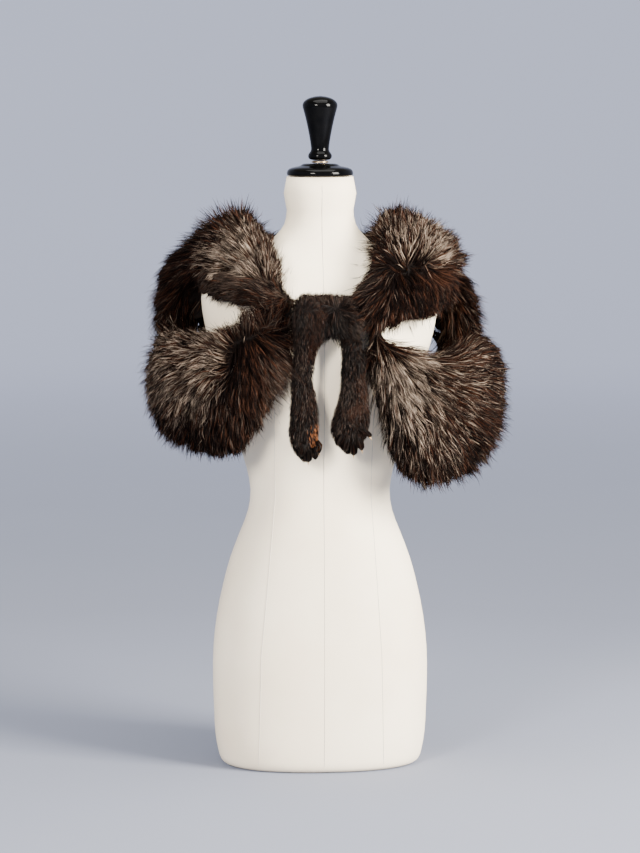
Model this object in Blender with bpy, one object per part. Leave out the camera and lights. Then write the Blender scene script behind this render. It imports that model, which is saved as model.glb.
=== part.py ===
"""Fur collar stole on a dress form.

The stole lies off the neck on the shoulders of a limbless dress form. It is a
ring of long silver and dark fur: a collar roll over the shoulders, a darker
roll under it, a band behind each arm, a broad flap under each arm, and two
panels across the back. A short dark band joins it at the centre front, and
two sleek legs with paws hang from that band.

Metres, Z up. The origin is the centre of the form's flat base. The form faces
-Y, and +X is the wearer's left.
"""
import math

import bmesh
import bpy
from mathutils import Vector

MM = 0.001
SEAM_GAP = 0.0004        # between fur pieces that meet at a seam
FORM_GAP = 0.00035       # between the fur and the form under it
WELD = 0.00002           # points nearer than this are one point
SHARP_EDGE = 50          # degrees, past which an edge isn't shaded smooth

# Dress form
FORM_SIDES = 40
FORM_SQUARENESS = 2.25   # of the level sections: 2 is an ellipse, more is boxier
BUST_X = 0.080           # each bust point from the centre
BUST_Z = 0.648
BUST_REACH = 0.024       # how far a bust point stands out of the chest
BUST_SPREAD = 0.056
BUST_FADE = 2.2          # how soon a bust point fades round towards the sides

# Turned cap, ring and knob
KNOB_SIDES = 24

# Fur
LOCK_LENGTH = 0.034      # spacing of the locks along a piece
LOCK_RELIEF = 0.0026     # how far a lock stands out of the fur's face
TUFT_REACH = 0.007       # how far the locks hang below a lower edge
LOCK_SWIRL = 2.0         # how far the locks lean round a piece
LOCK_SECOND = 1.7        # the smaller locks, against the larger ones
FUR_ROUND = 2.3          # 2 is an ellipse, more is boxier
END_SIZES = (0.42, 0.74, 0.92)   # share of the full section at a rounded end
END_CROWDING = 0.35      # how much closer the sections stand near the ends

# Paws
PAW_HEIGHT = 0.040       # how far up from the tip the toes are parted
TOE_RELIEF = 0.0042      # depth of the furrows between the toes
TOE_DROP = 0.0050        # how far a toe reaches below the furrow beside it


def named_rows(columns, rows):
    """Turn a table of plain rows into dictionaries with the columns' names."""
    return [dict(zip(columns.split(), row)) for row in rows]


# Height, half width at the sides, depth to the front and depth to the back, in
# millimetres, of the form's level sections.
FORM_ROWS = named_rows("z half_width front back", [
    (0, 146, 88, 91),
    (2.5, 155, 96, 99),
    (8, 161, 101, 104),
    (20, 165, 104, 107),
    (50, 170, 107, 111),
    (90, 172, 109, 116),
    (140, 173.5, 111, 122),
    (190, 172.5, 111, 125),
    (240, 167, 109, 121),
    (290, 157, 107, 111),
    (335, 145, 105, 98),
    (375, 130, 102, 87),
    (412, 116, 97, 78),
    (445, 112, 92, 75),
    (480, 118, 91, 77),
    (525, 132, 95, 83),
    (575, 148, 98, 91),
    (625, 160, 99, 97),
    (680, 177, 98, 103),
    (720, 186, 96, 106),
    (752, 190, 92, 104),
    (776, 187, 86, 99),
    (790, 174, 81, 94),
    (802, 155, 76, 88),
    (814, 132, 70, 82),
    (828, 107, 63, 75),
    (842, 84, 57, 68),
    (856, 69, 53, 62),
    (872, 57, 50, 58),
    (895, 53, 49, 55),
    (948, 53, 49, 55),
])

# Radius and height, in millimetres, of the turned pieces on top of the neck.
CAP_PROFILE = [(0, 948.4), (50, 948.4), (53, 950), (53.5, 954), (52, 959), (46, 962.5),
               (34, 964.5), (29.5, 966), (28.5, 969), (0, 969)]
RING_PROFILE = [(0, 969.4), (13, 969.4), (14, 971), (13, 973.6), (0, 973.6)]
KNOB_PROFILE = [(0, 974), (15, 974), (19, 977), (19.5, 982), (17, 986), (14, 989),
                (14.5, 996), (17, 1012), (21, 1032), (25.5, 1050), (28, 1058),
                (28.3, 1062), (26.5, 1067), (20, 1072), (10, 1075), (0, 1076)]

STRIP = "x y z wide thick facing tip"
# Fur pieces. Each row is a section through a piece: its centre, its width and
# its thickness in millimetres, the way its face looks in degrees (0 is the
# front, 90 the wearer's left, 180 the back) and how far that face tips up.
FUR_ROWS = {
    "collar_left": named_rows(STRIP, [
        (0.2, 112, 790, 86, 66, 180, 22),
        (72, 104, 806, 96, 74, 162, 32),
        (130, 66, 824, 116, 84, 132, 48),
        (155, 12, 836, 140, 92, 96, 60),
        (142, -38, 834, 150, 90, 62, 50),
        (112, -72, 824, 128, 84, 38, 30),
        (88, -96, 802, 92, 66, 20, 14),
        (66, -108, 774, 56, 46, 8, 4),
    ]),
    "collar_right": named_rows(STRIP, [
        (-0.2, 112, 790, 86, 66, -180, 22),
        (-72, 104, 806, 96, 74, -162, 32),
        (-128, 66, 824, 116, 84, -132, 48),
        (-152, 12, 832, 136, 88, -96, 58),
        (-142, -40, 834, 124, 90, -62, 46),
        (-112, -76, 826, 98, 88, -38, 26),
        (-84, -100, 800, 84, 70, -20, 12),
        (-64, -112, 760, 56, 48, -8, 4),
    ]),
    "under_left": named_rows(STRIP, [
        (30, -116, 738, 44, 44, 4, 0),
        (62, -118, 752, 74, 58, 12, 0),
        (102, -112, 764, 86, 66, 26, 4),
        (146, -86, 772, 88, 70, 44, 8),
        (182, -44, 780, 84, 66, 68, 12),
        (200, -6, 790, 74, 58, 90, 14),
    ]),
    "under_right": named_rows(STRIP, [
        (-40, -116, 746, 42, 46, -4, 0),
        (-74, -118, 760, 52, 60, -14, 0),
        (-112, -110, 775, 52, 68, -28, 2),
        (-146, -88, 783, 52, 68, -44, 4),
        (-170, -60, 790, 50, 62, -62, 8),
        (-184, -28, 796, 44, 52, -80, 10),
    ]),
    "side_left": named_rows(STRIP, [
        (192, 62, 826, 70, 52, 108, 0),
        (206, 66, 800, 104, 72, 106, 0),
        (218, 66, 762, 116, 82, 104, 0),
        (224, 62, 722, 118, 82, 102, 0),
        (228, 58, 684, 104, 74, 100, 0),
        (230, 56, 660, 72, 52, 100, 0),
    ]),
    "side_right": named_rows(STRIP, [
        (-180, 62, 850, 76, 60, -112, 0),
        (-203, 64, 828, 110, 82, -108, 0),
        (-218, 66, 786, 118, 88, -104, 0),
        (-224, 64, 738, 118, 86, -102, 0),
        (-226, 62, 696, 110, 80, -100, 0),
        (-228, 60, 664, 80, 58, -100, 0),
    ]),
    "flap_left": named_rows(STRIP, [
        (64, -116, 688, 50, 40, 4, 0),
        (84, -122, 648, 124, 62, 10, 0),
        (110, -124, 602, 196, 74, 18, 0),
        (158, -116, 578, 208, 84, 30, 0),
        (208, -86, 582, 202, 88, 50, 0),
        (242, -34, 600, 190, 92, 74, 0),
        (248, 24, 612, 172, 88, 98, 0),
        (222, 74, 612, 160, 80, 128, 0),
        (186, 104, 608, 156, 76, 150, 0),
    ]),
    "flap_right": named_rows(STRIP, [
        (-50, -114, 708, 70, 44, -4, 0),
        (-76, -120, 684, 136, 62, -12, 0),
        (-108, -120, 650, 184, 76, -22, 0),
        (-142, -110, 622, 204, 84, -34, 0),
        (-186, -86, 616, 190, 88, -52, 0),
        (-222, -38, 624, 172, 92, -76, 0),
        (-232, 20, 624, 160, 88, -98, 0),
        (-212, 72, 616, 156, 80, -128, 0),
        (-182, 102, 610, 154, 76, -150, 0),
    ]),
    "back_upper": named_rows(STRIP, [
        (-196, 92, 738, 110, 60, -140, 0),
        (-140, 116, 736, 138, 76, -158, 0),
        (-60, 132, 730, 144, 82, -172, 0),
        (60, 132, 730, 144, 82, -188, 0),
        (140, 116, 736, 138, 76, -202, 0),
        (196, 92, 738, 110, 60, -220, 0),
    ]),
    "back_lower": named_rows(STRIP, [
        (-176, 98, 608, 120, 60, -150, 0),
        (-120, 114, 602, 154, 80, -162, 0),
        (-50, 124, 596, 160, 86, -174, 0),
        (50, 124, 596, 160, 86, -186, 0),
        (120, 114, 602, 154, 80, -198, 0),
        (176, 98, 608, 120, 60, -210, 0),
    ]),
    "front_band": named_rows(STRIP, [
        (-62, -120, 732, 50, 40, -8, 0),
        (-40, -126, 735, 66, 50, -4, 0),
        (0, -128, 734, 64, 50, 0, 0),
        (36, -126, 732, 62, 50, 4, 0),
        (62, -120, 728, 46, 40, 8, 0),
    ]),
    "leg_right": named_rows(STRIP, [
        (-30, -148, 766, 38, 24, 0, 0),
        (-28, -154, 740, 50, 30, 0, 0),
        (-28, -146, 702, 48, 30, 0, 0),
        (-34, -134, 670, 38, 27, 0, 0),
        (-37, -130, 630, 36, 26, 0, 0),
        (-34, -130, 598, 44, 30, 0, 0),
        (-34, -130, 560, 48, 34, 0, 0),
        (-34, -130, 530, 44, 32, 0, 0),
        (-32, -130, 508, 26, 22, 0, 0),
    ]),
    "leg_left": named_rows(STRIP, [
        (42, -124, 712, 30, 24, 0, 0),
        (42, -130, 690, 36, 27, 0, 0),
        (43, -130, 650, 38, 27, 0, 0),
        (45, -130, 612, 46, 30, 0, 0),
        (40, -130, 572, 60, 35, 0, 0),
        (37, -130, 545, 58, 34, 0, 0),
        (37, -130, 520, 34, 24, 0, 0),
    ]),
}
# Pieces whose sections are level, because they run down and not around.
RUN_DOWN = ("side_left", "side_right", "leg_left", "leg_right")
# Rings along each piece and points round each ring.
FUR_RINGS = {
    "collar_left": (28, 14), "collar_right": (28, 14),
    "under_left": (15, 12), "under_right": (14, 12),
    "side_left": (12, 12), "side_right": (12, 12),
    "flap_left": (34, 16), "flap_right": (34, 16),
    "back_upper": (20, 12), "back_lower": (20, 12),
    "front_band": (10, 10), "leg_right": (20, 22), "leg_left": (16, 22),
}
TOES = {"leg_right": 3, "leg_left": 4}
# How far the locks stand out, against LOCK_RELIEF and TUFT_REACH.
FUR_LENGTH = {"front_band": 0.5, "leg_left": 0.3, "leg_right": 0.3}
# A piece is cut back by each piece before it here, which lies over it.
TOP_TO_BOTTOM = [
    "leg_right", "front_band", "leg_left", "collar_left", "collar_right",
    "under_left", "under_right", "flap_left", "flap_right",
    "side_left", "side_right", "back_upper", "back_lower",
]

COLOURS = {
    "form": (0.80, 0.76, 0.68, 1.0),
    "black": (0.012, 0.012, 0.013, 1.0),
    "brass": (0.62, 0.44, 0.20, 1.0),
    "silver": (0.22, 0.19, 0.165, 1.0),
    "dark": (0.035, 0.022, 0.017, 1.0),
    "sleek": (0.030, 0.019, 0.015, 1.0),
}


def clear_scene():
    for item in list(bpy.data.objects):
        bpy.data.objects.remove(item, do_unlink=True)


def material(name, colour, roughness, metallic=0.0):
    finish = bpy.data.materials.new(name)
    finish.use_nodes = True
    shader = finish.node_tree.nodes["Principled BSDF"]
    shader.inputs["Base Color"].default_value = colour
    shader.inputs["Roughness"].default_value = roughness
    shader.inputs["Metallic"].default_value = metallic
    finish.diffuse_color = colour
    return finish


def smooth_between(rows, key, place):
    """Read a column at a place along its rows, on a curve through them."""
    last = len(rows) - 1
    first = min(int(place), last - 1)
    part = place - first
    before = rows[max(first - 1, 0)][key]
    here = rows[first][key]
    there = rows[first + 1][key]
    after = rows[min(first + 2, last)][key]
    start = (there - before) / 2 if first > 0 else there - here
    end = (after - here) / 2 if first + 2 <= last else there - here
    square, cube = part * part, part * part * part
    return (
        (2 * cube - 3 * square + 1) * here
        + (cube - 2 * square + part) * start
        + (3 * square - 2 * cube) * there
        + (cube - square) * end
    )


def loft(name, rings):
    """Join rings of points into one closed body, with a flat end at each end."""
    mesh = bmesh.new()
    made = [[mesh.verts.new(point) for point in ring] for ring in rings]
    count = len(made[0])
    for low, high in zip(made, made[1:]):
        for i in range(count):
            j = (i + 1) % count
            mesh.faces.new((low[i], low[j], high[j]))
            mesh.faces.new((low[i], high[j], high[i]))
    for ring in (made[0], made[-1]):
        mesh.faces.new(ring)
    bmesh.ops.triangulate(mesh, faces=[f for f in mesh.faces if len(f.verts) > 3])
    bmesh.ops.recalc_face_normals(mesh, faces=mesh.faces)
    data = bpy.data.meshes.new(name)
    mesh.to_mesh(data)
    mesh.free()
    data.shade_smooth()
    data.set_sharp_from_angle(angle=math.radians(SHARP_EDGE))
    item = bpy.data.objects.new(name, data)
    bpy.context.scene.collection.objects.link(item)
    return item


def superellipse(angle, power):
    c, s = math.cos(angle), math.sin(angle)
    return (
        math.copysign(abs(c) ** (2 / power), c),
        math.copysign(abs(s) ** (2 / power), s),
    )


def bust(x, z):
    """How far the chest stands forward at a place, as two soft mounds."""
    rise = 0.0
    for side in (-1, 1):
        away = ((x - side * BUST_X) / BUST_SPREAD) ** 2 + ((z - BUST_Z) / BUST_SPREAD) ** 2
        rise += BUST_REACH * math.exp(-away)
    return rise


def form_rings(grow=0.0):
    rings = []
    for row in FORM_ROWS:
        z = row["z"] * MM
        if grow:
            z += grow if row is FORM_ROWS[-1] else (-grow if row is FORM_ROWS[0] else 0.0)
        ring = []
        for i in range(FORM_SIDES):
            across, along = superellipse(2 * math.pi * i / FORM_SIDES, FORM_SQUARENESS)
            deep = row["front"] if along < 0 else row["back"]
            x = across * (row["half_width"] * MM + grow)
            y = along * (deep * MM + grow)
            if along < 0:
                y -= bust(x, z) * min(1.0, -BUST_FADE * along)
            ring.append((x, y, z))
        rings.append(ring)
    return rings


def turned(name, profile):
    """A turned piece: its profile spun once round the neck's axis."""
    mesh = bmesh.new()
    line = [mesh.verts.new((radius * MM, 0.0, z * MM)) for radius, z in profile]
    edges = [mesh.edges.new(pair) for pair in zip(line, line[1:])]
    bmesh.ops.spin(
        mesh, geom=line + edges, cent=(0, 0, 0), axis=(0, 0, 1),
        angle=2 * math.pi, steps=KNOB_SIDES, use_merge=True,
    )
    bmesh.ops.remove_doubles(mesh, verts=mesh.verts, dist=WELD)
    bmesh.ops.recalc_face_normals(mesh, faces=mesh.faces)
    data = bpy.data.meshes.new(name)
    mesh.to_mesh(data)
    mesh.free()
    data.shade_smooth()
    data.set_sharp_from_angle(angle=math.radians(SHARP_EDGE))
    item = bpy.data.objects.new(name, data)
    bpy.context.scene.collection.objects.link(item)
    return item


def fur_axes(row, runs_down):
    """The width and thickness directions of a section of fur."""
    facing, tip = math.radians(row["facing"]), math.radians(row["tip"])
    out = Vector((math.sin(facing), -math.cos(facing), 0.0))
    up = Vector((0.0, 0.0, 1.0))
    if runs_down:
        return up.cross(out), out
    return up * math.cos(tip) - out * math.sin(tip), out * math.cos(tip) + up * math.sin(tip)


def lock_relief(along, angle, length):
    """Locks of fur as a wavy face, with longer tufts at the lower edge."""
    wave = 2 * math.pi * along / LOCK_LENGTH
    large = math.sin(wave + LOCK_SWIRL * math.sin(2 * angle))
    small = math.sin(LOCK_SECOND * wave + 3 * angle)
    face = 0.6 * large + 0.4 * small
    tuft = max(0.0, -math.cos(angle)) ** 3 * abs(math.sin(wave / 2))
    return length * (LOCK_RELIEF * face + TUFT_REACH * tuft)


def fur_sections(name):
    """The sections of a piece, closer together towards its ends."""
    rows, count = FUR_ROWS[name], FUR_RINGS[name][0]
    for k in range(count):
        part = k / (count - 1)
        eased = 0.5 - 0.5 * math.cos(math.pi * part)
        place = (END_CROWDING * eased + (1 - END_CROWDING) * part) * (len(rows) - 1)
        yield {key: smooth_between(rows, key, place) for key in STRIP.split()}


def toe(name, across, above_tip):
    """How much of a toe is at a place on a paw: 1 on its middle, 0 in a furrow."""
    if name not in TOES or above_tip > PAW_HEIGHT:
        return None
    return abs(math.sin(math.pi * TOES[name] * (across + 1) / 2))


def end_rounding(name, k, count):
    """How much of its full size a section near a rounded end has."""
    from_end = count - 1 - k
    if not name.startswith("collar"):
        from_end = min(k, from_end)
    return END_SIZES[from_end] if from_end < len(END_SIZES) else 1.0


def fur_rings(name, grow=0.0):
    count, sides = FUR_RINGS[name]
    length = FUR_LENGTH.get(name, 1.0)
    sections = list(fur_sections(name))
    centres = [Vector((row["x"], row["y"], row["z"])) * MM for row in sections]
    first_way = (centres[0] - centres[1]).normalized()
    last_way = (centres[-1] - centres[-2]).normalized()
    centres[0] += first_way * grow
    centres[-1] += last_way * grow
    rings, along = [], 0.0
    for k, row in enumerate(sections):
        along += (centres[k] - centres[k - 1]).length if k else 0.0
        width_way, thick_way = fur_axes(row, name in RUN_DOWN)
        rounding = end_rounding(name, k, count)
        ring = []
        for i in range(sides):
            angle = 2 * math.pi * i / sides
            w, t = superellipse(angle, FUR_ROUND)
            relief = lock_relief(along, angle, length) * rounding + grow
            above_tip = centres[k].z - centres[-1].z
            lobe = toe(name, w, above_tip)
            drop = 0.0
            if lobe is not None:
                fade = 1 - above_tip / PAW_HEIGHT
                relief -= TOE_RELIEF * (1 - lobe) * fade
                drop = TOE_DROP * lobe * fade * fade
            ring.append(
                centres[k]
                + width_way * w * (row["wide"] * MM / 2 * rounding + relief)
                + thick_way * t * (row["thick"] * MM / 2 * rounding + relief)
                - Vector((0.0, 0.0, drop))
            )
        rings.append(ring)
    return rings


def cutter(name, rings):
    item = loft(name, rings)
    item.hide_render = True
    item.display_type = "WIRE"
    return item


def cut(item, tool):
    cut_away = item.modifiers.new("clear of " + tool.name, "BOOLEAN")
    cut_away.operation = "DIFFERENCE"
    cut_away.solver = "EXACT"
    cut_away.object = tool


def islands(mesh):
    """The separate bodies of a mesh, each as a list of its vertices."""
    left, found = set(mesh.verts), []
    while left:
        reach = [left.pop()]
        body = list(reach)
        while reach:
            for edge in reach.pop().link_edges:
                for corner in edge.verts:
                    if corner in left:
                        left.remove(corner)
                        reach.append(corner)
                        body.append(corner)
        found.append(body)
    return found


def drop_offcuts(item):
    """Make the cuts final, and keep the piece's largest body alone."""
    graph = bpy.context.evaluated_depsgraph_get()
    data = bpy.data.meshes.new_from_object(item.evaluated_get(graph))
    mesh = bmesh.new()
    mesh.from_mesh(data)
    bodies = sorted(islands(mesh), key=len)
    for offcut in bodies[:-1]:
        bmesh.ops.delete(mesh, geom=offcut, context="VERTS")
    mesh.to_mesh(data)
    mesh.free()
    item.modifiers.clear()
    item.data = data


def build_form(finishes):
    body = loft("form_body", form_rings())
    body.data.materials.append(finishes["form"])
    for name, profile, finish in (
        ("neck_cap", CAP_PROFILE, "black"),
        ("ferrule", RING_PROFILE, "brass"),
        ("knob", KNOB_PROFILE, "black"),
    ):
        turned(name, profile).data.materials.append(finishes[finish])


def build_fur(finishes):
    form_space = cutter("form_space", form_rings(FORM_GAP))
    over = []
    for name in TOP_TO_BOTTOM:
        piece = loft(name, fur_rings(name))
        kind = "sleek" if name[:3] in ("leg", "fro") else "silver"
        if name.startswith(("under", "side")):
            kind = "dark"
        piece.data.materials.append(finishes[kind])
        cut(piece, form_space)
        for above in over:
            cut(piece, above)
        drop_offcuts(piece)
        over.append(cutter(name + "_space", fur_rings(name, SEAM_GAP)))


def main():
    clear_scene()
    finishes = {
        "form": material("form canvas", COLOURS["form"], 0.85),
        "black": material("black lacquer", COLOURS["black"], 0.12),
        "brass": material("brass", COLOURS["brass"], 0.3, 1.0),
        "silver": material("silver fur", COLOURS["silver"], 0.75),
        "dark": material("dark fur", COLOURS["dark"], 0.75),
        "sleek": material("sleek fur", COLOURS["sleek"], 0.6),
    }
    build_form(finishes)
    build_fur(finishes)


main()
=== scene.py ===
# %% [markdown]
# # A fur collar stole on a dress form
#
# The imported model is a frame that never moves: it holds the size and place of
# every piece. This lesson dresses it. The form gets its canvas, its turned
# black top gets lacquer, and each fur piece gets a thin hide with combed hair.

# %% The frame and its box
import math

import bmesh
import bpy
import numpy as np
from mathutils import Matrix, Vector
from mathutils.bvhtree import BVHTree
from mathutils.kdtree import KDTree


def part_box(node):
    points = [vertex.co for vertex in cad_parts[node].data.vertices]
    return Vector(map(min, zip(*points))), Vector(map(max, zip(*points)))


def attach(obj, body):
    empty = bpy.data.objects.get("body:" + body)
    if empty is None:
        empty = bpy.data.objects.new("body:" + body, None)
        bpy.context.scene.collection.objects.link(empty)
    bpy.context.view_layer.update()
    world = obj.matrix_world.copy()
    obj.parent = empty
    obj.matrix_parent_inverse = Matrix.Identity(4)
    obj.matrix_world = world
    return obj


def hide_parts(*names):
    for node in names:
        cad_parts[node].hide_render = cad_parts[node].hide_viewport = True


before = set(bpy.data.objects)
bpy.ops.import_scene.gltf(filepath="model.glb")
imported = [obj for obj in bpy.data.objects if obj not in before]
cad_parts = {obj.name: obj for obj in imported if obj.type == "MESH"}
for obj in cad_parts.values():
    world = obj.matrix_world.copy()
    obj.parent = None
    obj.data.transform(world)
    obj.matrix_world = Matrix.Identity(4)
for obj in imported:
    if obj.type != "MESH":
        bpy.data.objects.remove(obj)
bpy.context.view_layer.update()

MM = 0.001
random = np.random.default_rng(7)


def put(name, data):
    """An object that shows the data, linked to the scene."""
    item = bpy.data.objects.new(name, data)
    bpy.context.scene.collection.objects.link(item)
    return item


def mesh_data(name, mesh):
    """Mesh data from a bmesh, which is then freed."""
    data = bpy.data.meshes.new(name)
    mesh.to_mesh(data)
    mesh.free()
    return data


def stand_and_look(item, place, target):
    item.location = place
    item.rotation_euler = (Vector(target) - Vector(place)).to_track_quat("-Z", "Y").to_euler()


print("frame nodes", len(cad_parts))

# %% [markdown]
# ## Camera
#
# The camera stands a little to the wearer's right and a little above the
# shoulders, five metres away. A long lens from far off keeps the form's sides
# straight, as a studio photographer would. A short lens close by would also
# fill the picture, but it would swell the chest and shrink the hips.

# %% Camera at the picture's angle
CAMERA_TURN = -4.0
CAMERA_AWAY = 5.0
CAMERA_HEIGHT = 1.10
CAMERA_LENS = 132
CAMERA_LOOKS_AT = (0.0, 0.0, 0.547)


def place_camera():
    lens = bpy.data.cameras.new("studio camera")
    lens.lens = CAMERA_LENS
    camera = put("studio camera", lens)
    turn = math.radians(CAMERA_TURN)
    place = (math.sin(turn) * CAMERA_AWAY, -math.cos(turn) * CAMERA_AWAY, CAMERA_HEIGHT)
    stand_and_look(camera, place, CAMERA_LOOKS_AT)
    bpy.context.scene.camera = camera


place_camera()
print("camera looks at", CAMERA_LOOKS_AT)

# %% [markdown]
# ## Finishes worked out from place
#
# Every finish below is made of shader nodes that ask where a point lies, and
# turn the answer into colour, shine or bump. A painted picture could do the
# same, but it would blur close by and would have to travel with the file. The
# same few steps come back in each finish, so they are written once here.

# %% Steps that finishes share
def new_finish(name, values):
    """A material, its node tree and its shader, with values for the shader's inputs."""
    finish = bpy.data.materials.new(name)
    finish.use_nodes = True
    tree = finish.node_tree
    shader = tree.nodes["Principled BSDF"]
    for key, value in values.items():
        shader.inputs[key].default_value = value
    return finish, tree, shader


def add_node(tree, kind, settings=(), values=()):
    made = tree.nodes.new(kind)
    for key, value in dict(settings).items():
        setattr(made, key, value)
    for key, value in dict(values).items():
        made.inputs[key].default_value = value
    return made


def object_place(tree):
    return add_node(tree, "ShaderNodeTexCoord").outputs["Object"]


def object_noise(tree, scale, detail):
    noise = add_node(tree, "ShaderNodeTexNoise", values={"Scale": scale, "Detail": detail})
    tree.links.new(object_place(tree), noise.inputs["Vector"])
    return noise.outputs["Fac"]


def colour_ramp(tree, fac, stops):
    """The colour from a ramp whose stops are (place, red, green, blue)."""
    ramp = tree.nodes.new("ShaderNodeValToRGB")
    parts = ramp.color_ramp.elements
    while len(parts) < len(stops):
        parts.new(0.5)
    for part, (place, *colour) in zip(parts, stops):
        part.position = place
        part.color = (*colour, 1)
    tree.links.new(fac, ramp.inputs["Fac"])
    return ramp.outputs["Color"]


def tint(tree, shader, fac, stops):
    tree.links.new(colour_ramp(tree, fac, stops), shader.inputs["Base Color"])


def remap(tree, fac, into, low, high, start=0.0, end=1.0):
    """Carry a number over from start..end to low..high, into an input."""
    span = add_node(tree, "ShaderNodeMapRange", values={
        "From Min": start, "From Max": end, "To Min": low, "To Max": high,
    })
    tree.links.new(fac, span.inputs["Value"])
    tree.links.new(span.outputs["Result"], into)


def roughen(tree, shader, height, strength, distance):
    bump = add_node(tree, "ShaderNodeBump", values={"Strength": strength, "Distance": distance})
    tree.links.new(height, bump.inputs["Height"])
    tree.links.new(bump.outputs["Normal"], shader.inputs["Normal"])


def grained_finish(name, values, scale, detail, tones, shine=None, bump=None):
    """A finish coloured by noise, which may also drive its shine and its bump."""
    finish, tree, shader = new_finish(name, values)
    grain = object_noise(tree, scale, detail)
    tint(tree, shader, grain, tones)
    if shine:
        remap(tree, grain, shader.inputs["Roughness"], *shine)
    if bump:
        roughen(tree, shader, grain, *bump)
    return finish


print("finishes share", grained_finish.__name__)

# %% [markdown]
# ## Light and backdrop
#
# The floor curves up into a round wall all the way about, as in a photographer's
# cove, so no line shows behind the form from the front. A plane with a lit world
# behind it would be less work, but its far edge would show. The paper of the
# wall carries a painted glow, weak near the middle of the floor and stronger
# further out, which stands in for light falling on the backdrop. One large soft
# light stands at the viewer's right, its lower edge well above the floor. It
# runs a tall reflection down the knob, and weaker lights fill the left and the
# top.

# %% A round cove, extruded ring by ring
COVE_FLOOR = 6.0
COVE_BEND = 1.8
COVE_HEIGHT = 4.5
COVE_SEGMENTS = 96
BEND_STEPS = 12
PAPER_TONES = [(0, 0.170, 0.184, 0.230), (1, 0.182, 0.197, 0.246)]
# Painted glow: the paper emits light, weak near the middle of the floor and stronger further out, standing
# in for light on the backdrop.
GLOW_COLOUR = (0.66, 0.71, 0.92, 1)
GLOW_REACH = (1.5, 6.5)         # metres from the middle of the floor
GLOW_STRENGTH = (0.10, 0.62)


def paper_material():
    paper, tree, shader = new_finish("cove paper", {
        "Roughness": 0.95, "Specular IOR Level": 0.1, "Emission Color": GLOW_COLOUR,
    })
    tint(tree, shader, object_noise(tree, 1.4, 2.0), PAPER_TONES)
    # Painted glow that grows with the distance from the middle of the floor.
    away = add_node(tree, "ShaderNodeVectorMath", {"operation": "LENGTH"})
    tree.links.new(object_place(tree), away.inputs[0])
    remap(tree, away.outputs["Value"], shader.inputs["Emission Strength"], *GLOW_STRENGTH, *GLOW_REACH)
    return paper


def make_cove():
    mesh = bmesh.new()
    bmesh.ops.create_circle(mesh, cap_ends=True, segments=COVE_SEGMENTS, radius=COVE_FLOOR)
    rim = [e for e in mesh.edges if e.is_boundary]

    def grow(edges, radius, wider, up):
        made = bmesh.ops.extrude_edge_only(mesh, edges=edges)["geom"]
        moved = [v for v in made if isinstance(v, bmesh.types.BMVert)]
        bmesh.ops.scale(mesh, verts=moved, vec=(wider / radius, wider / radius, 1))
        bmesh.ops.translate(mesh, verts=moved, vec=(0, 0, up))
        return [e for e in made if isinstance(e, bmesh.types.BMEdge)]

    radius, height = COVE_FLOOR, 0.0
    for step in range(1, BEND_STEPS + 1):
        turn = step / BEND_STEPS * math.pi / 2
        wider = COVE_FLOOR + COVE_BEND * math.sin(turn)
        higher = COVE_BEND * (1 - math.cos(turn))
        rim = grow(rim, radius, wider, higher - height)
        radius, height = wider, higher
    grow(rim, radius, radius, COVE_HEIGHT)
    bmesh.ops.recalc_face_normals(mesh, faces=mesh.faces)
    data = mesh_data("paper_cove", mesh)
    data.shade_smooth()
    data.materials.append(paper_material())
    cove = put("paper_cove", data)
    return cove


cove = make_cove()
print("cove faces", len(cove.data.polygons))

# %% Soft lights
LIGHTS = [
    # name, place, target, width, height, watts, colour
    ("key softbox", (2.35, -1.75, 1.65), (0.0, 0.0, 0.90), 1.2, 1.8, 600, (1.0, 0.95, 0.87)),
    ("fill softbox", (-1.9, -3.4, 1.9), (0.0, 0.0, 0.7), 1.0, 1.0, 260, (1.0, 0.945, 0.87)),
    ("top softbox", (0.2, -0.4, 4.2), (0.0, 0.5, 0.4), 3.4, 3.0, 220, (1.0, 0.985, 0.96)),
]
AIR_COLOUR = (1.0, 0.965, 0.91, 1)
AIR_STRENGTH = 0.4


def add_light(name, place, target, width, height, watts, colour):
    lamp = bpy.data.lights.new(name, "AREA")
    lamp.shape = "RECTANGLE"
    lamp.size = width
    lamp.size_y = height
    lamp.energy = watts
    lamp.color = colour
    item = put(name, lamp)
    stand_and_look(item, place, target)
    item.visible_camera = False


def light_world():
    world = bpy.data.worlds.new("studio air")
    world.use_nodes = True
    air = world.node_tree.nodes["Background"]
    air.inputs["Color"].default_value = AIR_COLOUR
    air.inputs["Strength"].default_value = AIR_STRENGTH
    bpy.context.scene.world = world


for light in LIGHTS:
    add_light(*light)
light_world()
print("lights", len(LIGHTS))

# %% [markdown]
# ## Copies of the frame's solids
#
# A node of the frame is loose triangles, which have no shared edges to bevel,
# smooth or walk along. Its own mesh may not change either. So each piece here
# starts from a copy whose doubled points are merged, and the copy is free.

# %% Merged copies
HARD_NODES = ("form_body", "neck_cap", "ferrule", "knob")
FUR_NODES = tuple(sorted(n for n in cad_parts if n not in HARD_NODES))
WELD = 0.02 * MM


def merged_copy(node):
    mesh = bmesh.new()
    mesh.from_mesh(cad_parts[node].data)
    bmesh.ops.remove_doubles(mesh, verts=mesh.verts, dist=WELD)
    return mesh


def add_piece(name, data, finish):
    """A piece of the dressing that rides on the frame's one body."""
    item = put(name, data)
    data.materials.append(finish)
    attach(item, "root")
    return item


def new_piece(name, mesh, finish):
    data = mesh_data(name, mesh)
    data.shade_smooth()
    return add_piece(name, data, finish)


print("fur pieces", FUR_NODES)

# %% [markdown]
# ## Canvas
#
# The form is padded and covered with unbleached canvas: cream, matt and very
# slightly mottled, with a fine plain weave. A flat colour would look like
# plastic. The weave could be an image, but two waves that cross on the cloth's
# own map stay sharp at any distance. The map is in metres, round and up.

# %% Canvas finish
CANVAS_TONES = [(0.30, 0.84, 0.715, 0.53), (0.62, 0.92, 0.81, 0.62)]
CANVAS_THREAD = 0.0011
WAVE_LENGTH = 0.314             # of a wave texture whose scale is 1


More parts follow.
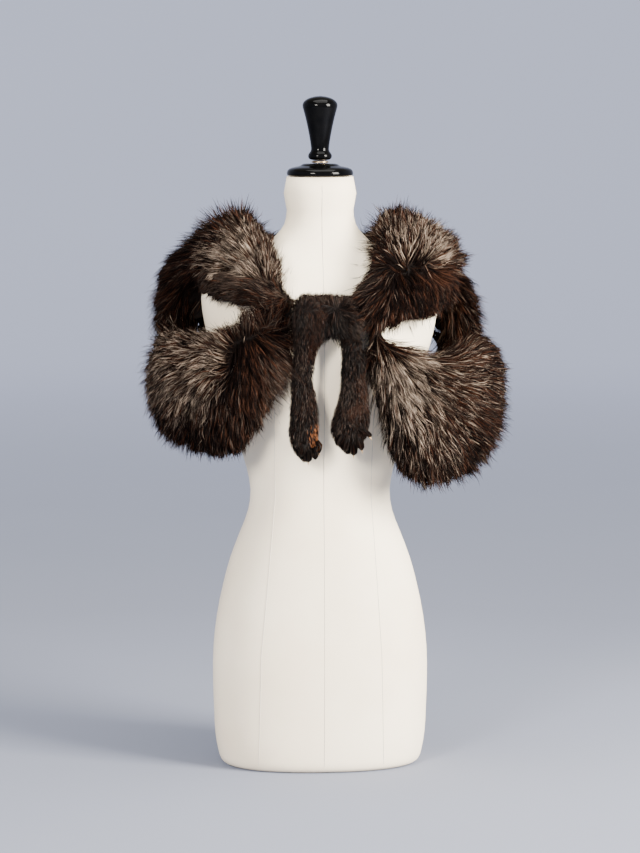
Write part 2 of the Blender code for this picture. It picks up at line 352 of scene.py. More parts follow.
def canvas_finish():
    finish, tree, shader = new_finish("unbleached canvas", {
        "Roughness": 0.82, "Specular IOR Level": 0.25, "Sheen Weight": 0.08,
    })
    tint(tree, shader, object_noise(tree, 7.0, 4.0), CANVAS_TONES)
    cloth = add_node(tree, "ShaderNodeUVMap", {"uv_map": "canvas"})
    cross = add_node(tree, "ShaderNodeMath", {"operation": "MAXIMUM"})
    for number, direction in enumerate("XY"):
        thread = add_node(
            tree, "ShaderNodeTexWave", {"bands_direction": direction},
            {"Scale": WAVE_LENGTH / CANVAS_THREAD, "Distortion": 0.6, "Detail": 1.0},
        )
        tree.links.new(cloth.outputs["UV"], thread.inputs["Vector"])
        tree.links.new(thread.outputs["Fac"], cross.inputs[number])
    roughen(tree, shader, cross.outputs["Value"], 0.10, 0.0002)
    return finish


canvas = canvas_finish()
print("canvas threads each", CANVAS_THREAD)

# %% The covered form
MAP_RADIUS = 0.16               # one radian round the form is this many metres of map
JOIN_FACE_ANGLE = math.radians(40)
JOIN_SHAPE_ANGLE = math.radians(60)


def wrap_map(data, name):
    """Lay a map of metres round and up on a body that stands on its axis."""
    layer = data.uv_layers.new(name=name)
    for face in data.polygons:
        middle = math.atan2(face.center.x, -face.center.y)
        for loop in face.loop_indices:
            co = data.vertices[data.loops[loop].vertex_index].co
            angle = math.atan2(co.x, -co.y)
            if angle - middle > math.pi:
                angle -= 2 * math.pi
            if middle - angle > math.pi:
                angle += 2 * math.pi
            layer.data[loop].uv = (angle * MAP_RADIUS, co.z)


def make_form():
    mesh = merged_copy("form_body")
    bmesh.ops.join_triangles(
        mesh, faces=mesh.faces, angle_face_threshold=JOIN_FACE_ANGLE,
        angle_shape_threshold=JOIN_SHAPE_ANGLE,
    )
    bmesh.ops.subdivide_edges(
        mesh, edges=mesh.edges, cuts=1, use_grid_fill=True, smooth=1.0,
        smooth_falloff="LINEAR",
    )
    low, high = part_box("form_body")
    for vert in mesh.verts:
        vert.co.z = min(max(vert.co.z, low.z), high.z)
    form = new_piece("dress_form", mesh, canvas)
    wrap_map(form.data, "canvas")
    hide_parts("form_body")
    return form


form = make_form()
print("form faces", len(form.data.polygons))

# %% [markdown]
# ## Seams of the cover
#
# The canvas is cut in long panels, so fine seams run down the centre and over
# each bust, and the same way down the back. A groove in the mesh would need
# very small faces. A thin line of geometry laid on the surface costs little and
# still catches light, so each seam is a cord as fine as a thread.

# %% Seam lines on the form
SEAM_ROWS = [
    # across at the top, at the bust, at the waist, at the hip, at the base; in mm
    ("front", (0, 0, 0, 0, 0)),
    ("front", (-66, -80, -76, -100, -104)),
    ("front", (66, 80, 76, 92, 96)),
    ("back", (0, 0, 0, 0, 0)),
    ("back", (-70, -82, -60, -84, -92)),
    ("back", (70, 82, 60, 84, 92)),
]
SEAM_HEIGHTS = (0.935, 0.648, 0.445, 0.190, 0.012)
SHOULDER_SEAM_TOP = 0.780
SEAM_RADIUS = 0.45 * MM
SEAM_LIFT = 0.2                 # how far its middle stands out, as a share of its radius
SEAM_STEP = 0.012
SEAM_TONES = [(0.2, 0.52, 0.47, 0.40), (0.8, 0.66, 0.61, 0.53)]
LOOKS = {"front": Vector((0, 1, 0)), "back": Vector((0, -1, 0)), "above": Vector((0, 0, -1))}


def mesh_tree(item):
    mesh = bmesh.new()
    mesh.from_mesh(item.data)
    tree = BVHTree.FromBMesh(mesh)
    mesh.free()
    return tree


form_tree = mesh_tree(form)


def seam_points(side, across):
    look = LOOKS[side]
    top = SEAM_HEIGHTS[0] if across[0] == 0 else SHOULDER_SEAM_TOP
    points = []
    count = int((top - SEAM_HEIGHTS[-1]) / SEAM_STEP)
    for i in range(count + 1):
        z = top - i * (top - SEAM_HEIGHTS[-1]) / count
        x = np.interp(z, SEAM_HEIGHTS[::-1], across[::-1]) * MM
        spot, normal = form_tree.ray_cast(Vector((x, 0, z)) - look, look)[:2]
        if spot is not None:
            points.append(spot + normal * SEAM_RADIUS * SEAM_LIFT)
    return points


def seam_finish():
    finish, tree, shader = new_finish("seam thread", {"Roughness": 0.85})
    stitch = add_node(
        tree, "ShaderNodeTexWave", {"bands_direction": "Z"},
        {"Scale": 150.0, "Distortion": 0.4},
    )
    tree.links.new(object_place(tree), stitch.inputs["Vector"])
    tint(tree, shader, stitch.outputs["Fac"], SEAM_TONES)
    return finish


def make_seams():
    curve = bpy.data.curves.new("form_seams", "CURVE")
    curve.dimensions = "3D"
    curve.bevel_depth = SEAM_RADIUS
    curve.bevel_resolution = 1
    for side, across in SEAM_ROWS:
        line = curve.splines.new("POLY")
        points = seam_points(side, across)
        line.points.add(len(points) - 1)
        for point, place in zip(line.points, points):
            point.co = (*place, 1)
    return add_piece("form_seams", curve, seam_finish())


seams = make_seams()
print("seams", len(seams.data.splines))

# %% [markdown]
# ## The turned black top
#
# The neck ends in a lathe-turned cap, a small brass ring and a flared knob, all
# but the ring in thick black lacquer. The frame holds their profiles, so each
# one is read from its node, spun again with more steps and rounded with one
# level of subdivision. That keeps the long highlight on the knob clean.

# %% Lacquer and brass
LACQUER_TONES = [(0.3, 0.0006, 0.0006, 0.0007), (0.7, 0.0016, 0.0015, 0.0015)]
BRASS_TONES = [(0.35, 0.50, 0.33, 0.17), (0.65, 0.80, 0.62, 0.40)]
lacquer = grained_finish(
    "black lacquer", {"Specular IOR Level": 0.05, "Coat Weight": 0.08, "Coat Roughness": 0.03},
    60.0, 3.0, LACQUER_TONES, shine=(0.06, 0.14), bump=(0.03, 0.0004),
)
brass = grained_finish(
    "old brass", {"Metallic": 1.0}, 180.0, 5.0, BRASS_TONES, shine=(0.22, 0.42),
)
print("turned finishes", lacquer.name, brass.name)

# %% Turned pieces, spun from the frame's own profiles
TURNING_STEPS = 48


def profile_of(node):
    """The radius and height of each ring of a turned node, from its foot up."""
    rings = {}
    low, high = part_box(node)
    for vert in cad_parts[node].data.vertices:
        radius, z = math.hypot(vert.co.x, vert.co.y), vert.co.z
        rings[(round(radius, 5), round(z, 5))] = (radius, z)
    rings = [r for r in rings.values() if r[0] > MM]
    foot = [r for r in rings if r[1] < low.z + WELD * 2]
    rest = [r for r in rings if r[1] >= low.z + WELD * 2]
    rest.sort(key=lambda ring: (ring[1], -ring[0]))
    return [(0, low.z)] + sorted(foot) + rest + [(0, high.z)]


def make_turned(node, name, finish):
    mesh = bmesh.new()
    verts = [mesh.verts.new((radius, 0, z)) for radius, z in profile_of(node)]
    edges = [mesh.edges.new(pair) for pair in zip(verts, verts[1:])]
    bmesh.ops.spin(
        mesh, geom=verts + edges, cent=(0, 0, 0), axis=(0, 0, 1),
        angle=2 * math.pi, steps=TURNING_STEPS, use_merge=True,
    )
    bmesh.ops.remove_doubles(mesh, verts=mesh.verts, dist=WELD)
    bmesh.ops.recalc_face_normals(mesh, faces=mesh.faces)
    item = new_piece(name, mesh, finish)
    smooth = item.modifiers.new("smooth", "SUBSURF")
    smooth.levels = smooth.render_levels = 1
    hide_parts(node)
    return item


for node, name, finish, slot in (
    ("neck_cap", "turned_cap", lacquer, "black_lacquer"),
    ("ferrule", "brass_ring", brass, "brass"),
    ("knob", "turned_knob", lacquer, "black_lacquer"),
):
    turned = make_turned(node, name, finish)
    print(name, "faces", len(turned.data.polygons))

# %% [markdown]
# ## One skin over all the fur
#
# Hair lies over seams, so it must be combed on one smooth surface and not on
# thirteen separate solids. A voxel remesh of all the fur and the form gives
# that surface. It is only a guide: nothing of it is shown. Each of its faces
# remembers which fur piece it lies on.

# %% The guide surface
COMB_VOXEL = 5 * MM
HIDE_VOXEL = 9 * MM
PAW_VOXEL = 3.2 * MM
GUIDE_SMOOTHING = 4
PAW_SMOOTHING = 2
NORMAL_SMOOTHING = 3
SHORT_PIECES = ("front_band", "leg_left", "leg_right")
LOOK_LIFT = 3 * MM              # how far above a face a look starts
LOOK_GRAZE = 0.15               # ways flatter than this don't count
# Ways along which light and the eye may reach a face.
LOOK_WAYS = [
    Vector(way).normalized() for way in (
        (0, -1, 0), (0.5, -1, 0), (-0.5, -1, 0), (0, -1, 0.5), (0, -1, -0.5), (1, -0.2, 0),
        (-1, -0.2, 0), (1, 0.6, 0), (-1, 0.6, 0), (0, 1, 0), (0.5, 1, 0.3), (-0.5, 1, 0.3),
        (0, -0.3, 1), (0, 0.3, 1), (0.6, 0, 0.8), (-0.6, 0, 0.8), (0, -0.5, -1), (0, 0.5, -1),
    )
]


def joined_copy(nodes):
    """One mesh of several nodes, with the node of each of its faces."""
    whole = bmesh.new()
    owners = []
    for number, node in enumerate(nodes):
        data = mesh_data("part", merged_copy(node))
        whole.from_mesh(data)
        owners += [number] * len(data.polygons)
        bpy.data.meshes.remove(data)
    return whole, owners


def smooth_points(mesh, times):
    for _ in range(times):
        bmesh.ops.smooth_vert(
            mesh, verts=mesh.verts, factor=0.5,
            use_axis_x=True, use_axis_y=True, use_axis_z=True,
        )


def voxel_skin(mesh, voxel, smoothing):
    data = bpy.data.meshes.new("guide")
    mesh.to_mesh(data)
    item = put("guide", data)
    remesh = item.modifiers.new("voxels", "REMESH")
    remesh.mode = "VOXEL"
    remesh.voxel_size = voxel
    shape = item.evaluated_get(bpy.context.evaluated_depsgraph_get())
    skin = bmesh.new()
    skin.from_mesh(shape.to_mesh())
    bpy.data.objects.remove(item)
    smooth_points(skin, smoothing)
    skin.verts.ensure_lookup_table()
    skin.faces.ensure_lookup_table()
    skin.verts.index_update()
    skin.faces.index_update()
    return skin


class Guide:
    """The guide surface as arrays, with a tree to find the nearest place on it."""

    def __init__(self, nodes, voxel, smoothing=GUIDE_SMOOTHING):
        solids, owners = joined_copy(nodes)
        skin = voxel_skin(solids, voxel, smoothing)
        labels = BVHTree.FromBMesh(solids)
        self.nodes = nodes
        self.tree = BVHTree.FromBMesh(skin)
        self.points = np.array([v.co for v in skin.verts])
        self.faces = np.array([[v.index for v in f.verts][:4] for f in skin.faces])
        self.area = np.array([f.calc_area() for f in skin.faces])
        self.middle = np.array([f.calc_center_median() for f in skin.faces])
        ends = np.array([[v.index for v in e.verts] for e in skin.edges])
        normals = np.array([v.normal for v in skin.verts])
        for _ in range(NORMAL_SMOOTHING):
            summed = normals.copy()
            np.add.at(summed, ends[:, 0], normals[ends[:, 1]])
            np.add.at(summed, ends[:, 1], normals[ends[:, 0]])
            normals = unit(summed)
        self.point_normals = normals
        self.normals = unit(normals[self.faces].sum(axis=1))
        self.owner = np.array([owners[labels.find_nearest(m)[2]] for m in self.middle])
        solids.free()
        skin.free()

    def faces_of(self, node):
        return np.flatnonzero(self.owner == self.nodes.index(node))

    def nearest(self, places):
        """The nearest place on the guide, its smooth normal and signed height."""
        found = [self.tree.find_nearest(Vector(p)) for p in places]
        spot = np.array([f[0] for f in found])
        normal = self.normals[np.array([f[2] for f in found])]
        away = places - spot
        far = np.linalg.norm(away, axis=1)
        height = np.where((away * normal).sum(axis=1) >= 0, far, -far)
        return spot, normal, height


def unit(vectors):
    size = np.linalg.norm(vectors, axis=-1, keepdims=True)
    return vectors / np.maximum(size, 1e-9)


def share_seen(skin, face):
    """How much of what looks at a face gets past the rest of the fur and form."""
    normal = Vector(skin.normals[face])
    start = Vector(skin.middle[face]) + normal * LOOK_LIFT
    ways = [way for way in LOOK_WAYS if way.dot(normal) > LOOK_GRAZE]
    free = sum(guide.tree.ray_cast(start, way)[0] is None for way in ways)
    return free / max(len(ways), 1)


guide = Guide(FUR_NODES + ("form_body",), COMB_VOXEL)
hide_guide = Guide(FUR_NODES + ("form_body",), HIDE_VOXEL)
paw_guide = Guide(SHORT_PIECES, PAW_VOXEL, PAW_SMOOTHING)
for skin in (guide, paw_guide):
    skin.seen = np.array([share_seen(skin, face) for face in range(len(skin.faces))])
print("guide faces", len(guide.faces), len(hide_guide.faces), len(paw_guide.faces))
for node in FUR_NODES:
    print(node, "outer area", round(float(guide.area[guide.faces_of(node)].sum()), 4))

# %% [markdown]
# ## Combing
#
# A furrier brushes each pelt so that the hair runs a certain way, and where two
# pelts meet the hair parts. The comb marks below do the same: each is a place
# on the piece as seen from the front, the back or above, the way its hair
# lies, and how much of it is silver, red-brown or soft grey. On the legs the
# soft grey is painted sheen, not grey hair. Every other hair follows the marks
# nearest to it. Painting a texture would need an image, and particle hair does
# not export.

# %% Comb marks
COMB = "across up run rise silver russet grey"
# across and up are the mark's place in mm, as a picture from that side shows it;
# run and rise are the way the hair lies there; the rest are shares in percent.
COMB_MARKS = {
    "collar_right": [
        ("front", [
            (-150, 895, -0.5, 1, 5, 30, 10), (-125, 895, 0, 1, 5, 35, 10), (-95, 890, 0.25, 1, 10, 40, 20),
            (-80, 880, 0.9, 0.6, 0, 15, 25), (-185, 875, -1, 0.3, 10, 25, 5),
            (-215, 850, -0.9, -0.35, 0, 10, 0), (-235, 820, -0.85, -0.5, 0, 5, 0),
            (-235, 780, -0.8, -0.6, 0, 10, 0), (-205, 790, -0.6, -0.75, 0, 5, 0),
            (-175, 850, -0.95, 0.3, 20, 20, 0), (-190, 826, -0.9, -0.45, 41, 10, 0),
            (-165, 832, -0.9, 0.25, 89, 5, 0), (-140, 846, -0.75, 0.65, 53, 30, 0),
            (-140, 822, -0.8, 0.55, 95, 5, 0), (-115, 838, -0.6, 0.8, 53, 45, 0),
            (-115, 812, -0.7, 0.7, 89, 20, 0), (-90, 850, -0.15, 1, 20, 50, 25),
            (-92, 815, -0.35, 0.95, 59, 35, 20), (-78, 830, 0.35, 0.95, 15, 50, 25),
            (-76, 790, 0.7, 0.5, 10, 20, 30), (-95, 785, -0.45, 0.8, 30, 20, 25),
            (-160, 806, -0.95, -0.25, 41, 30, 10), (-120, 795, -0.75, 0.5, 25, 25, 10),
            (-72, 770, 0.8, 0, 5, 20, 20),
        ]),
        ("back", [
            (-150, 860, -0.5, -0.6, 30, 20, 0), (-80, 850, -0.2, -1, 25, 20, 0),
            (-20, 830, 0, -1, 20, 20, 0), (-100, 800, -0.2, -1, 55, 10, 0),
            (-190, 810, -0.7, -0.8, 10, 10, 0),
        ]),
        ("above", [
            (-90, 30, 0.6, 0.5, 10, 30, 20), (-150, 20, -1, 0.3, 30, 30, 0), (-60, 90, -0.2, 1, 30, 30, 0),
        ]),
    ],
    "collar_left": [
        ("front", [
            (92, 888, -0.5, 0.85, 25, 30, 10), (122, 892, 0, 1, 30, 30, 10), (150, 890, 0.2, 1, 40, 30, 10),
            (178, 872, 0.6, 0.8, 60, 20, 10), (205, 850, 0.75, 0.65, 80, 10, 0),
            (216, 824, 1, 0.15, 35, 30, 0), (72, 865, -0.8, 0.45, 5, 20, 25), (66, 835, -1, 0, 5, 15, 25),
            (66, 805, -0.85, -0.5, 0, 10, 30), (62, 780, -0.75, -0.65, 0, 10, 35),
            (90, 850, -0.85, 0.6, 5, 20, 5), (108, 862, -0.65, 0.8, 35, 30, 0),
            (112, 842, -0.7, 0.75, 15, 20, 0), (138, 868, 0.05, 1, 45, 25, 0),
            (140, 848, 0.1, 1, 35, 15, 0), (168, 856, 0.35, 0.95, 60, 10, 0),
            (172, 838, 0.55, 0.85, 60, 5, 0), (195, 838, 0.75, 0.65, 100, 0, 0),
            (100, 826, -0.85, 0.3, 5, 10, 0), (128, 824, -0.2, 0.9, 10, 5, 0),
            (156, 826, 0.3, 0.9, 20, 5, 0), (184, 822, 0.8, 0.5, 45, 20, 0),
            (90, 800, -0.7, -0.6, 0, 10, 10), (120, 800, 0, -1, 0, 0, 0), (150, 802, 0.1, -1, 0, 10, 0),
            (180, 796, 0.4, -0.9, 0, 55, 0), (208, 796, 0.8, -0.45, 0, 45, 0),
            (100, 770, -0.3, -1, 0, 10, 0),
        ]),
        ("back", [
            (150, 860, 0.5, -0.6, 40, 20, 0), (80, 850, 0.2, -1, 25, 20, 0), (20, 830, 0, -1, 20, 20, 0),
            (100, 800, 0.2, -1, 55, 10, 0), (190, 810, 0.7, -0.8, 10, 10, 0),
        ]),
        ("above", [
            (85, 20, -0.7, 0.5, 15, 30, 20), (140, 20, 0.3, 0.9, 50, 20, 0), (190, 10, 1, 0.3, 60, 10, 0),
            (60, 90, 0.2, 1, 30, 30, 0),
        ]),
    ],
    "under_right": [
        ("front", [
            (-115, 790, -0.95, 0.15, 0, 5, 64), (-150, 786, -1, -0.2, 0, 5, 68),
            (-175, 772, -0.8, -0.7, 0, 5, 60), (-185, 750, -0.55, -0.9, 0, 5, 45),
            (-90, 765, -0.7, 0.5, 0, 20, 38), (-125, 770, -0.9, -0.35, 0, 30, 26),
            (-150, 755, -0.6, -0.85, 0, 15, 19), (-115, 745, -0.45, -0.95, 0, 15, 26),
            (-75, 745, -0.5, -0.6, 0, 30, 15), (-55, 730, -0.3, -0.9, 0, 30, 8),
        ]),
    ],
    "under_left": [
        ("front", [
            (45, 755, -0.7, 0.3, 0, 10, 17), (75, 775, -0.6, -0.6, 0, 20, 10),
            (60, 725, -0.8, 0.15, 0, 10, 28), (90, 745, -0.25, -1, 0, 25, 5), (120, 765, 0, -1, 0, 10, 0),
            (115, 730, -0.15, -1, 0, 45, 5), (150, 750, 0.1, -1, 0, 25, 5), (180, 765, 0.25, -1, 0, 30, 5),
            (205, 770, 0.5, -0.9, 0, 45, 5), (80, 715, -0.4, -0.9, 0, 30, 10),
        ]),
    ],
    "flap_right": [
        ("front", [
            (-255, 715, -0.8, 0.5, 20, 20, 5), (-230, 712, -0.5, 0.75, 15, 20, 0),
            (-262, 680, -0.85, -0.6, 50, 10, 0), (-235, 688, -0.95, 0.15, 40, 25, 0),
            (-205, 695, -0.9, 0.3, 40, 35, 0), (-180, 700, -0.8, 0.5, 35, 40, 10),
            (-266, 640, -0.6, -0.85, 65, 0, 0), (-240, 650, -0.8, -0.6, 38, 30, 0),
            (-210, 665, -0.9, -0.3, 45, 20, 0), (-180, 672, -0.85, -0.35, 50, 15, 0),
            (-205, 635, -0.7, -0.75, 52, 20, 0), (-182, 640, -0.6, -0.85, 38, 10, 0),
            (-250, 605, -0.3, -1, 85, 0, 0), (-222, 600, -0.1, -1, 62, 0, 10),
            (-196, 605, 0.2, -1, 38, 10, 15), (-240, 580, -0.2, -1, 55, 0, 25),
            (-210, 578, 0.1, -1, 42, 10, 30), (-160, 688, -0.6, 0.6, 20, 20, 0),
            (-140, 712, -0.3, 0.9, 20, 30, 15), (-162, 665, -0.6, 0.3, 15, 5, 0),
            (-176, 615, 0, -1, 20, 0, 15), (-120, 728, -0.6, 0.9, 5, 30, 30),
            (-90, 728, -0.3, 0.8, 0, 35, 20), (-138, 690, 0.15, -1, 0, 5, 0),
            (-145, 660, 0.05, -1, 0, 5, 0), (-155, 620, 0.05, -1, 0, 5, 0), (-170, 585, 0.1, -1, 5, 15, 15),
            (-110, 685, 0.3, -0.9, 0, 35, 0), (-85, 690, 0.55, -0.8, 0, 35, 10),
            (-66, 700, 0.6, -0.7, 0, 15, 20), (-115, 640, 0.25, -1, 0, 55, 0),
            (-90, 645, 0.6, -0.8, 0, 65, 20), (-72, 640, 0.6, -0.8, 0, 30, 60),
            (-120, 600, 0.15, -1, 0, 50, 0), (-95, 595, 0.45, -0.9, 0, 50, 35),
            (-75, 590, 0.55, -0.85, 0, 20, 75), (-130, 560, 0.1, -1, 0, 30, 15),
            (-105, 555, 0.3, -0.95, 0, 20, 40), (-150, 540, 0.1, -1, 0, 10, 0), (-185, 550, 0, -1, 5, 5, 0),
            (-220, 550, -0.15, -1, 5, 0, 0), (-250, 560, -0.35, -0.95, 10, 0, 0),
        ]),
        ("back", [
            (-250, 680, -0.6, -0.8, 60, 10, 0), (-200, 660, -0.2, -1, 75, 10, 0),
            (-240, 600, -0.3, -1, 80, 0, 0), (-190, 590, 0, -1, 50, 10, 0), (-210, 540, -0.1, -1, 5, 0, 0),
        ]),
    ],
    "flap_left": [
        ("front", [
            (70, 690, -0.1, -1, 5, 10, 0), (66, 665, 0, -1, 10, 10, 10), (85, 670, 0.3, -0.95, 25, 10, 0),
            (78, 640, 0.2, -1, 45, 10, 0), (98, 640, 0.35, -0.95, 70, 5, 0),
            (92, 610, 0.25, -0.95, 55, 5, 0), (115, 620, 0.4, -0.9, 95, 0, 0),
            (130, 650, 0.6, -0.8, 60, 10, 0), (140, 600, 0.5, -0.85, 100, 0, 0),
            (112, 580, 0.1, -1, 45, 0, 0), (135, 570, 0.3, -0.95, 70, 5, 0), (108, 560, -0.2, -1, 30, 0, 0),
            (85, 700, 0.35, -0.6, 0, 5, 0), (105, 690, 0.6, -0.7, 0, 10, 0),
            (120, 678, 0.75, -0.65, 10, 20, 0), (145, 685, 0.9, -0.4, 55, 25, 0),
            (165, 660, 0.8, -0.6, 75, 15, 0), (185, 672, 1, 0, 20, 35, 10),
            (210, 675, 0.9, 0.45, 15, 30, 0), (200, 640, 1, -0.1, 20, 35, 15),
            (235, 655, 1, 0.15, 14, 40, 15), (175, 620, 0.75, -0.65, 42, 20, 0),
            (215, 610, 0.85, -0.5, 15, 40, 12), (250, 620, 0.9, -0.3, 16, 35, 15),
            (165, 580, 0.5, -0.85, 25, 30, 10), (200, 570, 0.7, -0.75, 14, 40, 10),
            (235, 575, 0.8, -0.6, 16, 35, 12), (145, 545, 0.15, -1, 35, 20, 0),
            (180, 540, 0.4, -0.9, 20, 30, 0), (215, 535, 0.6, -0.8, 18, 30, 15),
            (270, 600, 0.95, -0.4, 12, 25, 15), (275, 640, 1, -0.1, 8, 20, 10),
            (255, 550, 0.75, -0.7, 5, 20, 10), (105, 535, -0.2, -1, 10, 5, 0),
            (125, 515, -0.1, -1, 10, 10, 0), (155, 505, 0.05, -1, 22, 25, 10),
            (195, 505, 0.3, -0.95, 22, 20, 15), (230, 515, 0.5, -0.85, 8, 20, 15),
        ]),
        ("back", [
            (260, 650, 0.8, -0.5, 50, 10, 0), (200, 660, 0.2, -1, 75, 10, 0),
            (250, 580, 0.4, -0.9, 60, 10, 0), (190, 590, 0.1, -1, 55, 10, 0), (220, 530, 0.3, -1, 5, 0, 0),
        ]),
    ],
    "side_right": [
        ("front", [
            (-225, 790, -0.8, -0.6, 0, 30, 5), (-245, 760, -0.9, -0.45, 0, 30, 8),
            (-215, 750, -0.5, -0.9, 0, 25, 0), (-240, 720, -0.7, -0.7, 5, 30, 0),
            (-215, 700, -0.4, -0.9, 10, 25, 0),
        ]),
        ("back", [
            (-215, 800, -0.5, -0.9, 5, 10, 0), (-215, 720, -0.3, -1, 20, 10, 0),
        ]),
    ],
    "side_left": [
        ("front", [
            (200, 800, 0.3, -0.95, 0, 50, 0), (232, 790, 0.8, -0.6, 0, 40, 0),
            (215, 760, 0.3, -0.95, 0, 65, 0), (245, 750, 0.85, -0.55, 0, 30, 10),
            (220, 720, 0.35, -0.95, 5, 55, 10), (255, 715, 0.85, -0.5, 5, 20, 5),
            (235, 690, 0.6, -0.8, 20, 40, 0),
        ]),
        ("back", [
            (215, 800, 0.5, -0.9, 5, 20, 0), (215, 720, 0.3, -1, 15, 20, 0),
        ]),
    ],
    "back_upper": [
        ("back", [
            (-150, 760, -0.3, -1, 30, 15, 0), (-70, 770, -0.1, -1, 65, 10, 0), (0, 760, 0, -1, 90, 0, 0),
            (70, 770, 0.1, -1, 65, 10, 0), (150, 760, 0.3, -1, 30, 15, 0), (-80, 690, -0.1, -1, 20, 20, 0),
            (80, 690, 0.1, -1, 20, 20, 0),
        ]),
    ],
    "back_lower": [
        ("back", [
            (-130, 640, -0.2, -1, 75, 10, 0), (0, 640, 0, -1, 95, 0, 0), (130, 640, 0.2, -1, 75, 10, 0),
            (-110, 570, -0.2, -1, 30, 15, 0), (0, 560, 0, -1, 25, 10, 0), (110, 570, 0.2, -1, 30, 15, 0),
        ]),
    ],
    "front_band": [
        ("front", [
            (-50, 760, 0.2, 0.9, 0, 20, 20), (0, 764, 0, 1, 0, 20, 25), (40, 760, 0.3, 0.9, 0, 10, 25),
            (-50, 735, -0.4, -0.6, 0, 30, 0), (0, 738, 0, -1, 0, 15, 0), (45, 735, 0.6, -0.3, 0, 10, 10),
            (-5, 705, -0.1, -1, 0, 5, 0), (35, 710, 0.5, -0.7, 0, 5, 20), (55, 716, -0.8, 0.3, 0, 10, 60),
        ]),
    ],
    # On both legs the grey share is painted sheen, not grey hair: it stands in for the soft shine on the
    # sleek fur.
    "leg_right": [
        ("front", [
            (-28, 760, 0, 1, 0, 20, 20), (-45, 735, -0.1, -1, 0, 5, 25), (-15, 730, 0.05, -1, 0, 55, 0),
            (-45, 690, 0, -1, 0, 0, 35), (-16, 690, 0.05, -1, 0, 60, 0), (-38, 640, 0, -1, 0, 0, 25),
            (-36, 590, 0, -1, 0, 5, 30), (-20, 590, 0.2, -1, 0, 55, 0), (-44, 550, -0.1, -1, 0, 5, 20),
            (-34, 525, 0, -1, 0, 10, 15),
        ]),
    ],
    "leg_left": [
        ("front", [
            (40, 690, 0, -1, 0, 10, 5), (40, 650, 0, -1, 0, 5, 15), (36, 610, -0.05, -1, 0, 0, 30),
            (58, 620, 0.1, -1, 0, 75, 10), (56, 585, 0.1, -1, 0, 75, 10), (18, 550, -0.4, -1, 0, 5, 20),
            (38, 550, 0, -1, 0, 10, 20), (58, 555, 0.4, -1, 0, 40, 10),
        ]),
    ],
}
# Each piece's number of hairs, their length, the depth of their roots and the
# level of their tips in mm, how far a tip may stand out past that, how strongly
# they draw together in locks, and how much they curl.
HAIR = "hairs length depth level reach gather curl"
HAIR_ROWS = {
    "flap_left": (33000, 50, 15, -6.0, 15, 0.82, 1.5),
    "flap_right": (30500, 44, 15, -6.0, 13, 0.78, 2.6),
    "collar_left": (21500, 46, 15, -6.0, 13, 0.78, 1.6),
    "collar_right": (23500, 46, 16, -7.0, 14, 0.80, 2.0),
    "under_left": (8500, 36, 11, -4.5, 8, 0.55, 1.4),
    "under_right": (7000, 32, 9, -4.5, 7, 0.55, 1.8),
    "side_left": (8000, 46, 22, -16.0, 18, 0.72, 1.2),
    "side_right": (8000, 46, 22, -16.0, 18, 0.75, 1.2),
    "back_upper": (6500, 46, 14, -6.0, 12, 0.75, 1.2),
    "back_lower": (6500, 46, 14, -6.0, 12, 0.75, 1.2),
    "front_band": (6500, 26, 6, -1.0, 9, 0.55, 1.3),
    "leg_left": (7000, 10, 2.5, -0.4, 2.0, 0.25, 0.3),
    "leg_right": (7500, 10, 2.5, -0.4, 2.0, 0.25, 0.3),
}
# Places where some locks stand out much further, seen from the front: how many
# mm further, and how far round the place that holds.
WILD = "across up extra spread"
WILD_MARKS = {
    "collar_right": [
        (-165, 895, 44, 30), (-130, 905, 42, 26), (-100, 895, 22, 20), (-235, 820, 18, 40),
        (-205, 870, 22, 26),
    ],
    "side_right": [(-255, 750, 15, 40)],
    "collar_left": [(130, 905, 12, 50), (205, 855, 8, 40), (215, 810, 12, 30)],
    "side_left": [(255, 740, 14, 40), (186, 702, 24, 28)],
    "under_left": [(68, 712, 10, 20)],
    "flap_left": [
        (285, 640, 7, 34), (265, 560, 17, 50), (220, 505, 18, 40), (160, 490, 16, 45),
        (70, 700, 12, 22), (176, 688, 15, 24),
    ],
    "flap_right": [
        (-262, 640, 9, 60), (-225, 560, 18, 40), (-165, 565, 15, 40),
    ],
}
MARK_COUNT = sum(len(rows) for views in COMB_MARKS.values() for _, rows in views)
print("comb marks", MARK_COUNT)
print("hairs", sum(row[0] for row in HAIR_ROWS.values()))

# %% Marks laid on the guide
ABOVE = 1.2                     # the height from which a mark seen from above drops
NEARNESS_SOFT = 4 * MM          # keeps a mark from ruling alone where a hair meets it
WAY_POWER = 5                   # how much more the nearest marks count, for the way
TONE_POWER = 7                  # and for the colour


def named(columns, row):
    return dict(zip(columns.split(), row))


class Comb:
    """The comb marks of one piece, as arrays of places, ways and colours."""

    def __init__(self, views):
        places, ways, tones = [], [], []
        for seen, mark in ((seen, named(COMB, row)) for seen, rows in views for row in rows):
            look = LOOKS[seen]
            if seen == "above":
                start = Vector((mark["across"] * MM, mark["up"] * MM, ABOVE))
                way = (mark["run"], mark["rise"], 0.0)
            else:
                start = Vector((mark["across"] * MM, -look.y, mark["up"] * MM))
                way = (mark["run"], 0.0, mark["rise"])
            hit = guide.tree.ray_cast(start, look)[0]
            if hit is None:
                hit = guide.tree.find_nearest(start + look)[0]
            places.append(hit)
            ways.append(way)
            tones.append((mark["silver"], mark["russet"], mark["grey"]))
        self.places = np.array(places)
        self.ways = unit(np.array(ways))
        self.tones = np.array(tones) / 100

    def read(self, spots, values, power):
        away = np.linalg.norm(spots[:, None, :] - self.places[None, :, :], axis=2)
        share = 1.0 / (away + NEARNESS_SOFT) ** power
        share /= share.sum(axis=1, keepdims=True)
        return share @ values


combs = {piece: Comb(views) for piece, views in COMB_MARKS.items()}
print("combs", len(combs))

# %% [markdown]
# ## The hides
#
# Under the hair is leather about a millimetre and a half thick. Each hide is cut
# from the guide along its piece's seams, sunk to the depth of the hair roots and
# given its thickness. It is dark and hardly shows, but without it light would
# come through between the locks.

